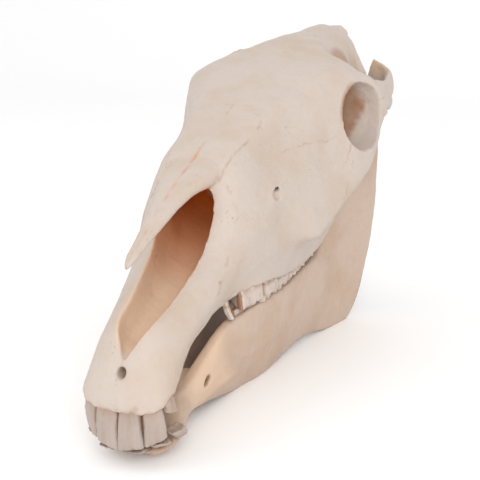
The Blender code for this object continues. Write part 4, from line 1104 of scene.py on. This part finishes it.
def cheek_tooth(middle, length_p, top, bite, centre, half_wide, ridge, taper, swing, upper, mirror):
    """One cheek tooth: upright ridges outside, a folded inside and a slanting bite face."""
    slope = (bite_height(middle + 8) - bite_height(middle - 8)) / 16
    half = length_p / 2 - 0.15
    a, b = squared_ring(96, 4.5)
    outer = np.clip((a - 0.2) / 0.5, 0, 1)
    inner = np.clip((-a - 0.2) / 0.5, 0, 1)
    if upper:
        crest = bell(b, -0.80, 0.15) + bell(b, -0.02, 0.12) + 0.7 * bell(b, 0.84, 0.13)
        fold = 0.9 * bell(b, 0.35, 0.16) - 0.5 * bell(b, -0.1, 0.3)
    else:
        crest = 1 - 1.3 * bell(b, 0.05, 0.12) - 0.4 * b**2
        fold = bell(b, -0.25, 0.15) + 0.7 * bell(b, 0.4, 0.13)
    side = ridge / MM * (outer * crest - inner * (fold - 0.2))
    groove = outer * (1 - np.clip(crest, 0, 1)) * 0.55 + inner * np.clip(fold, 0, 1) * 0.5
    rings, dips, necks = [], [], []
    down = top - bite
    neck_t = TOOTH_ROOT / abs(down)
    # The narrowed front of the first tooth gets a dark band too: painted shade of the gap in front of it.
    ends = (b > 0.93) * 0.4 + (b < -0.93) * 0.4 + (b < -0.9) * taper * 1.5
    for t, grow, press in CHEEK_RINGS:
        x = centre + (a * (half_wide - (ridge / MM if upper else 0.4)) + side) * grow
        x = centre + half_wide - (centre + half_wide - x) * (1 - taper * np.clip(-b, 0, 1) ** 1.5)
        x = x + swing * b - (ROOT_IN * max(0.0, TOOTH_ROOT - abs(down) * t) if upper else 0)
        p = middle + b * half * min(1.0, grow)
        slant = (x - centre) * BITE_SLANT * t
        h = top - down * t + (p - middle) * slope + slant - press
        rings.append(np.column_stack([x * mirror, p, h]))
        # The narrowed front of the first tooth is stained dark as well: painted shade.
        dips.append(groove * (0.4 + 0.6 * (1 - t)) + bell(t, 1, 0.05) * 0.35 + (b < -0.9) * taper * 1.3)
        necks.append(bell(t, neck_t, 0.07) * 0.7 + ends)
    return rings, dips, necks


def cheek_teeth(upper, mirror, settings):
    """One row of six cheek teeth."""
    row = []
    p = CHEEK_FROM
    start, gain, most = ROW_OUTER
    for count, length_p in enumerate(CHEEK_LENGTHS):
        middle = p + length_p / 2
        bite = bite_height(middle)
        taper, swing = (0, 0) if count else (FIRST_TAPER, FIRST_SWING)
        outer = min(start + gain * (middle - CHEEK_FROM), most) if count else FIRST_OUTER
        if upper:
            row.append(cheek_tooth(middle, length_p, gum_height(middle) + TOOTH_ROOT, bite,
                                   outer - UPPER_WIDTH / 2 + 0.2, UPPER_WIDTH / 2, settings.ridge,
                                   taper, swing, True, mirror))
        else:
            low = bite - BITE_GAP - LOWER_CROWN - TOOTH_ROOT
            row.append(cheek_tooth(middle - LOWER_LEAD, length_p, low, bite - BITE_GAP,
                                   outer - LOWER_INSET - LOWER_WIDTH / 2, LOWER_WIDTH / 2,
                                   settings.ridge * LOWER_RIDGE, taper, swing, False, mirror))
        p += length_p
    return row


def incisor_rings(centre_at, wide_at, deep_at, ends, stain=0.0):
    """Rings of an incisor from root to tip; a shallow groove runs down its front face."""
    a, b = squared_ring(72, 3.2)
    front = np.clip((-b - 0.3) / 0.5, 0, 1)
    groove = front * (bell(a, 0.12, 0.2) + 0.35 * bell(a, -0.45, 0.16))
    rings, dips, necks = [], [], []
    neck, tip = ends
    down = centre_at(1.0) - centre_at(0.9)
    down = down / np.linalg.norm(down)
    shaft = [(t, 1.0, 0.0) for t in np.linspace(-INCISOR_ROOT, 0.9, 14)]
    for t, grow, press in shaft + list(INCISOR_TIP):
        across = np.outer(a * (1 - (1 - grow) * 0.5), wide_at(t))
        inwards = np.outer((b + 0.10 * groove * min(1, t + 0.6)) * grow, deep_at(t))
        rings.append(centre_at(t) + across + inwards + down * press)
        worn = 0.5 if grow < 0.9 else 0.0
        dips.append(stain + groove * 0.25 + worn + 0.3 * max(0.0, 0.3 - abs(t - neck)) / 0.3)
        necks.append(0.9 * bell(t, neck, 0.05) + 0.5 * (np.abs(a) > 0.95) * (t < tip))
    return rings, dips, necks


def upper_incisor(shape, mirror):
    """An upper incisor, between the four corners of its front face."""
    if mirror < 0 and shape is UPPER_INCISORS[-1]:
        shape = [(c[0] - RIGHT_CORNER_IN, *c[1:]) for c in shape[:4]] + list(shape[4:])
    gum_in, gum_out, tip_in, tip_out, depth, bow, stain = shape
    gi, go, ti, to = (np.array(c, float) * (mirror, 1, 1) for c in (gum_in, gum_out, tip_in, tip_out))

    def frame_at(t):
        inner, outer = gi + (ti - gi) * t, go + (to - go) * t
        wide = (outer - inner) / 2
        back = np.array([-wide[1], wide[0], 0.0]) * mirror
        back /= np.linalg.norm(back)
        return (inner + outer) / 2, wide, back

    def centre_at(t):
        middle, _, back = frame_at(t)
        swell = bow * math.sin(math.pi * max(0.0, min(1.0, t)))
        inwards = np.array([-mirror * ROOT_TUCK * max(0.0, -t), 0, 0])
        return middle + inwards + back * (depth / 2 - swell + ROOT_LEAN * max(0.0, -t))

    def deep_at(t):
        return frame_at(t)[2] * depth / 2 * (1.0 if t > 0.3 else 0.9 + 0.3 * max(t, -0.3))

    def wide_at(t):
        return frame_at(t)[1] * (1.0 if t > 0 else 1 + 0.35 * t)

    return incisor_rings(centre_at, wide_at, deep_at, (0.02, 0.5), stain)


def lower_incisor(shape, mirror):
    """A lower incisor, from its root to its tip."""
    root, tip, at_root, at_tip, turn = shape
    root, tip = (np.array(c, float) * (mirror, 1, 1) for c in (root, tip))
    angle = math.radians(turn) * mirror
    wide = np.array([math.cos(angle), math.sin(angle), 0])
    deep = np.array([-math.sin(angle), math.cos(angle), 0])

    def along(t):
        return 0.3 + 0.7 * t

    def centre_at(t):
        s = along(t)
        return root * (1 - s) + tip * s - deep * LOWER_BOW * math.sin(math.pi * min(1.0, max(0.0, s)))

    def size_at(t, k):
        s = max(0.0, along(t))
        return (at_root[k] * (1 - s) + at_tip[k] * s) / 2

    return incisor_rings(centre_at, lambda t: wide * size_at(t, 0), lambda t: deep * size_at(t, 1),
                         (0.1, 0.5))


class SKULL_OT_teeth(Operator):
    """Make the incisors and cheek teeth of both jaws"""
    bl_idname = "skull.make_teeth"
    bl_label = "Make teeth"

    def execute(self, context):
        settings = context.scene.skull_teeth
        enamel = tooth_material("cheek_enamel", settings.enamel, settings)
        # The incisors get a darker copy of the enamel: painted shade.
        front = tooth_material("incisor_enamel_painted_shade", settings.incisor, settings)
        for seed, (side, mirror) in enumerate((("left", 1), ("right", -1))):
            teeth_object("upper_incisors_" + side, [upper_incisor(s, mirror) for s in UPPER_INCISORS],
                         settings.chip, 11 + seed, front, ["incisive_bone_" + side])
            teeth_object("upper_cheek_teeth_" + side, cheek_teeth(True, mirror, settings),
                         settings.chip, 31 + seed, enamel, ["upper_jaw_" + side])
            teeth_object("lower_cheek_teeth_" + side, cheek_teeth(False, mirror, settings),
                         settings.chip, 51 + seed, enamel, ["lower_jaw_" + side])
        teeth_object("lower_incisors", [lower_incisor(s, m) for m in (1, -1) for s in LOWER_INCISORS],
                     settings.chip, 71, front, ["lower_jaw_front"])
        teeth_object("wolf_tooth_left", [lower_incisor(WOLF_TOOTH, 1)],
                     settings.chip, 91, enamel, ["upper_jaw_left"])
        return {"FINISHED"}


# --- bones ---------------------------------------------------------------

def near_spot(at, place, reach, soft):
    """1 near a place on both sides of the skull, fading to 0 at its reach."""
    x, p, h = at.T
    near = np.linalg.norm((np.column_stack([np.abs(x), p, h]) - place) / reach, axis=1)
    return ramp(1.1 - near, soft)


def in_eye_socket(at):
    """1 inside an eye socket, fading to 0 at its rim."""
    x, p, h = at.T
    reach = np.hypot((p - CUP_MIDDLE[0]) / CUP_HALF[0], (h - CUP_MIDDLE[1]) / CUP_HALF[1])
    rim, rim_p, gain = CUP_RIM
    return (ramp(1.12 - reach, 0.10) * ramp(rim + gain * (p - rim_p) - np.abs(x), 3)
            * ramp(np.abs(x) - CUP_FLOOR, 4))


def in_nose(at, facing):
    """1 on the walls of the nasal cavity, fading to 0 at its mouth."""
    x, p, h = at.T
    first, last, widest = NOSE_LIMITS
    wide, low, high = smooth(NASAL_CAVITY, p).T
    middle = (low + high) / 2
    fill = 1.08 - np.maximum(np.abs(x) / (wide + 1.5), np.abs(h - middle) / ((high - low) / 2 + 1.5))
    inwards = facing[:, 2] * (middle - h) - facing[:, 0] * x
    return (ramp(widest - np.abs(x), 8) * ramp(p - first, 14) * ramp(last - p, 5) * ramp(fill, 0.09)
            * ramp(inwards - 5, 6))


def socket_painted_shade(at):
    """Strength of the painted shade, brown, on the inner side of an eye socket; a ridge bounds it."""
    x, p, h = at.T
    x = np.abs(x) + 1.2 * waves(at, 9, 206)
    front, below = [(a * x + b * p + c * h + start) / soft for a, b, c, start, soft in BROWN_PLANES]
    # The vessel hole is painted dark: painted shade.
    hole = bell(near_line(np.column_stack([x, p, h]), SOCKET_HOLE), 0, 1.5)
    cloud = 0.9 + 0.12 * waves(at, 14, 207)
    return np.maximum(ramp(np.minimum(front, below), 1) * ramp(cloud, 1) * 0.9, hole)


def in_mouth(at):
    """1 on the inner sides of the mouth in front of the cheek teeth, fading outwards."""
    x, p, h = at.T
    first, last, widest, low, high = MOUTH_LIMITS
    return (ramp(p - first, 16) * ramp(last - p, 20) * ramp(widest - np.abs(x), 5) * ramp(high - h, 6)
            * ramp(h - low, 6))


def open_chinks(at):
    """Short gaps where the seam between the nasal bones stands open."""
    x, p, h = at.T
    total = np.zeros(len(at))
    for place, reach, wide in CHINKS:
        total += bell(p, place, reach) * bell(x, 0, wide)
    return ramp(total, 1) * (h > ROOF_FROM)


def bone_labels(at):
    """Which bone each skull-frame point belongs to, and how near it is to a border, in millimetres."""
    x, p, h = at.T
    wavy_p = p + 1.3 * waves(at, 9, 201) + 0.5 * waves(at, 3.5, 203)
    wavy_h = h + 1.3 * waves(at, 9, 202) + 0.5 * waves(at, 3.5, 204)
    side = np.where(x > 0, 0, 1)
    wide, low = smooth(NOSE_AREA, wavy_p).T
    nose = np.maximum.reduce([np.abs(x) - wide, low - wavy_h, wavy_p - NOSE_AREA[-1][0]])
    left_over = np.ones(len(at), bool)
    label = np.full(len(at), -1)
    border = np.full(len(at), NO_BORDER)
    # Each area with the places of its left and right bone in UPPER_BONES; the braincase takes the rest.
    areas = ((nose, (0, 1)),
             (inside_outline(wavy_p, wavy_h, INCISOR_AREA), (2, 3)),
             (inside_outline(wavy_p, wavy_h, BROW_AREA), (4, 4)),
             (np.maximum(inside_outline(wavy_p, wavy_h, CHEEK_AREA), CHEEK_INNER - np.abs(x)), (5, 6)),
             (inside_outline(wavy_p, wavy_h, UPPER_JAW_AREA), (7, 8)))
    for distance, (left, right) in areas:
        border = np.where(left_over, np.minimum(border, np.abs(distance)), border)
        taken = left_over & (distance < 0)
        label[taken] = np.where(side, right, left)[taken]
        if left != right:
            border = np.where(taken, np.minimum(border, np.abs(x)), border)
        left_over &= ~taken
    label[left_over] = UPPER_BONES.index("braincase")
    return label, border


def fine_skin(whole, settings, seed):
    """The fine, slightly uneven surface of one whole."""
    voxel, rounds = ((settings.skin, 10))
    skin = Skin(whole, voxel, rounds)
    skin.uneven(settings, seed)
    return skin


def face_middles(skin):
    """Middle of each face, in the skull frame."""
    return np.column_stack(to_skull(skin.points[skin.quads].mean(axis=1)))


class SKULL_OT_upper_bones(Operator):
    """Make the bones of the upper skull"""
    bl_idname = "skull.make_upper_bones"
    bl_label = "Make upper bones"

    def execute(self, context):
        settings = context.scene.skull_bones
        skin = fine_skin(upper_skull(), settings, 101)
        at = skin.skull_points()
        # Painted shade, brown, in the hollows of the upper skull.
        skin.paint_shade_in_hollows(0.4)
        nose = in_nose(at, skin.skull_normals())
        skin.marks["lining_and_painted_shade"] = nose
        skin.marks["deep"] = nose ** 2 * ramp(at[:, 1] + 1.1 * at[:, 2] - ORANGE_FROM, ORANGE_SPAN)
        cup = in_eye_socket(at)
        # Painted shade: inside the eye sockets the brown of the shaded inner side takes the place of the
        # hollow shade.
        skin.marks["painted_shade_and_stain"] = np.maximum(skin.marks["painted_shade_and_stain"] * (1 - cup), cup * socket_painted_shade(at))
        # Painted shade: brown spots in the temple hollow and before the first cheek tooth, and the lining's
        # warmer tone on the shaded front of the fins.
        for place, reach, soft, strength in PAINTED_SHADE_SPOTS:
            skin.add_mark("painted_shade_and_stain", strength * near_spot(at, place, reach, soft))
        *fin, strength = PAINTED_FIN_SHADE
        skin.add_mark("lining_and_painted_shade", np.maximum(in_mouth(at), strength * near_spot(at, *fin)))
        chinks = open_chinks(at)
        skin.raise_by(-settings.suture_depth * 3 * chinks)
        skin.add_mark("deep", 0.7 * chinks)
        _, border = bone_labels(at)
        broken = ramp(0.5 + 0.9 * waves(at, 16, 205), 1)
        skin.cut_seam(bell(border, 0, SEAM_WIDTH) * broken * (1 - cup), settings)
        skin.socket_teeth(["upper_incisors_left", "upper_incisors_right", "upper_cheek_teeth_left",
                           "upper_cheek_teeth_right", "wolf_tooth_left"], settings.gum_depth)
        face_label, _ = bone_labels(face_middles(skin))
        material = bone_material("upper_bone", settings.ivory, settings.shade, settings)
        for number, node in enumerate(UPPER_BONES):
            skin.piece("bone_" + node, face_label == number, material, node, "skull_bone")
        return {"FINISHED"}


class SKULL_OT_lower_bones(Operator):
    """Make the bones of the lower jaw"""
    bl_idname = "skull.make_lower_bones"
    bl_label = "Make lower bones"

    def execute(self, context):
        settings = context.scene.skull_bones
        skin = fine_skin(lower_jaw(), settings, 131)
        at = skin.skull_points()
        # Painted shade, brown, in the hollows of the lower jaw.
        skin.paint_shade_in_hollows(0.5)
        skin.marks["lining_and_painted_shade"] = in_mouth(at)
        border = np.where(at[:, 1] < JAW_FRONT_END + 1, np.abs(at[:, 0]), NO_BORDER)
        skin.cut_seam(bell(border, 0, SEAM_WIDTH), settings)
        skin.socket_teeth(["lower_incisors", "lower_cheek_teeth_left", "lower_cheek_teeth_right"],
                          settings.gum_depth)
        skin.points[:, 2] = np.maximum(skin.points[:, 2], 0.0)
        middle = face_middles(skin)
        front = middle[:, 1] < JAW_FRONT_END
        material = bone_material("jaw_bone", settings.jaw, settings.jaw_shade, settings)
        left = middle[:, 0] > 0
        for node, keep in (("lower_jaw_front", front), ("lower_jaw_left", ~front & left),
                           ("lower_jaw_right", ~front & ~left)):
            skin.piece("bone_" + node, keep, material, node, "jaw_bone")
        return {"FINISHED"}


# --- studio --------------------------------------------------------------

def soft_light(name, place, size, power, tone):
    """A round area light that points at the skull."""
    lamp = bpy.data.lights.new(name, "AREA")
    lamp.shape = "DISK"
    lamp.size = size
    lamp.energy = power
    lamp.color = tone
    item = bpy.data.objects.new(name, lamp)
    item.location = place
    item.rotation_euler = (Vector(LIGHT_AIM) - Vector(place)).to_track_quat("-Z", "Y").to_euler()
    bpy.context.scene.collection.objects.link(item)


def studio_floor():
    """A flat floor that turns up into a wall behind, in strips."""
    turn = np.linspace(0.1, math.pi / 2, 12)
    profile = [(y, 0.0) for y in (FLOOR_FRONT, -1.0, 1.5, FLOOR_BACK)]
    profile += [(FLOOR_BACK + FLOOR_TURN * math.sin(t), FLOOR_TURN - FLOOR_TURN * math.cos(t))
                for t in turn]
    profile += [(FLOOR_BACK + FLOOR_TURN, WALL_TOP)]
    wide = 9
    points = [(x, y, z) for y, z in profile for x in np.linspace(-FLOOR_HALF_WIDTH, FLOOR_HALF_WIDTH, wide)]
    faces = [(i * wide + j, i * wide + j + 1, (i + 1) * wide + j + 1, (i + 1) * wide + j)
             for i in range(len(profile) - 1) for j in range(wide - 1)]
    return mesh_object("studio_floor", np.array(points), faces, world=True)


class SKULL_OT_studio(Operator):
    """Make the floor, the lights and the camera"""
    bl_idname = "skull.make_studio"
    bl_label = "Make studio"

    def execute(self, context):
        settings = context.scene.skull_studio
        floor = studio_floor()
        floor.data.shade_smooth()
        floor.data.materials.append(plain_material("studio_paper", settings.floor, 0.75))
        soft_light("key_light", KEY_PLACE, KEY_SIZE, settings.key, KEY_TONE)
        soft_light("fill_light", FILL_PLACE, FILL_SIZE, settings.fill, WHITE)
        context.scene.view_settings.view_transform = "Standard"
        world = bpy.data.worlds.new("studio_sky")
        world.use_nodes = True
        sky = world.node_tree.nodes["Background"]
        sky.inputs["Color"].default_value = (*WHITE, 1.0)
        sky.inputs["Strength"].default_value = settings.sky
        context.scene.world = world
        lens = bpy.data.cameras.new("photo_camera")
        lens.lens = settings.lens
        lens.sensor_width = SENSOR_WIDTH
        camera = bpy.data.objects.new("photo_camera", lens)
        camera.location = CAMERA_PLACE
        camera.rotation_euler = (math.radians(90 - CAMERA_DOWN), 0.0, math.radians(CAMERA_TURN))
        context.scene.collection.objects.link(camera)
        context.scene.camera = camera
        return {"FINISHED"}


class SKULL_PT_panel(Panel):
    """The skull's settings and steps"""
    bl_label = "Horse skull"
    bl_idname = "SKULL_PT_panel"
    bl_space_type = "VIEW_3D"
    bl_region_type = "UI"
    bl_category = "Skull"

    def draw(self, context):
        for title, settings in (("Bones", context.scene.skull_bones), ("Teeth", context.scene.skull_teeth),
                                ("Studio", context.scene.skull_studio)):
            box = self.layout.box()
            box.label(text=title)
            for name in settings.__annotations__:
                box.prop(settings, name)
        for step in STEPS:
            self.layout.operator(step)


GROUPS = (("skull_bones", BoneSettings), ("skull_teeth", ToothSettings), ("skull_studio", StudioSettings))
OPERATORS = (SKULL_OT_teeth, SKULL_OT_upper_bones, SKULL_OT_lower_bones, SKULL_OT_studio)
STEPS = [operator.bl_idname for operator in OPERATORS]


def register():
    for name, group in GROUPS:
        bpy.utils.register_class(group)
        setattr(bpy.types.Scene, name, PointerProperty(type=group))
    for kind in (*OPERATORS, SKULL_PT_panel):
        bpy.utils.register_class(kind)


def unregister():
    for kind in reversed((*OPERATORS, SKULL_PT_panel)):
        bpy.utils.unregister_class(kind)
    for name, group in reversed(GROUPS):
        delattr(bpy.types.Scene, name)
        bpy.utils.unregister_class(group)


def main():
    register()
    bpy.ops.skull.make_teeth()
    bpy.ops.skull.make_upper_bones()
    bpy.ops.skull.make_lower_bones()
    bpy.ops.skull.make_studio()
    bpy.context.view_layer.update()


if __name__ == "__main__":
    main()
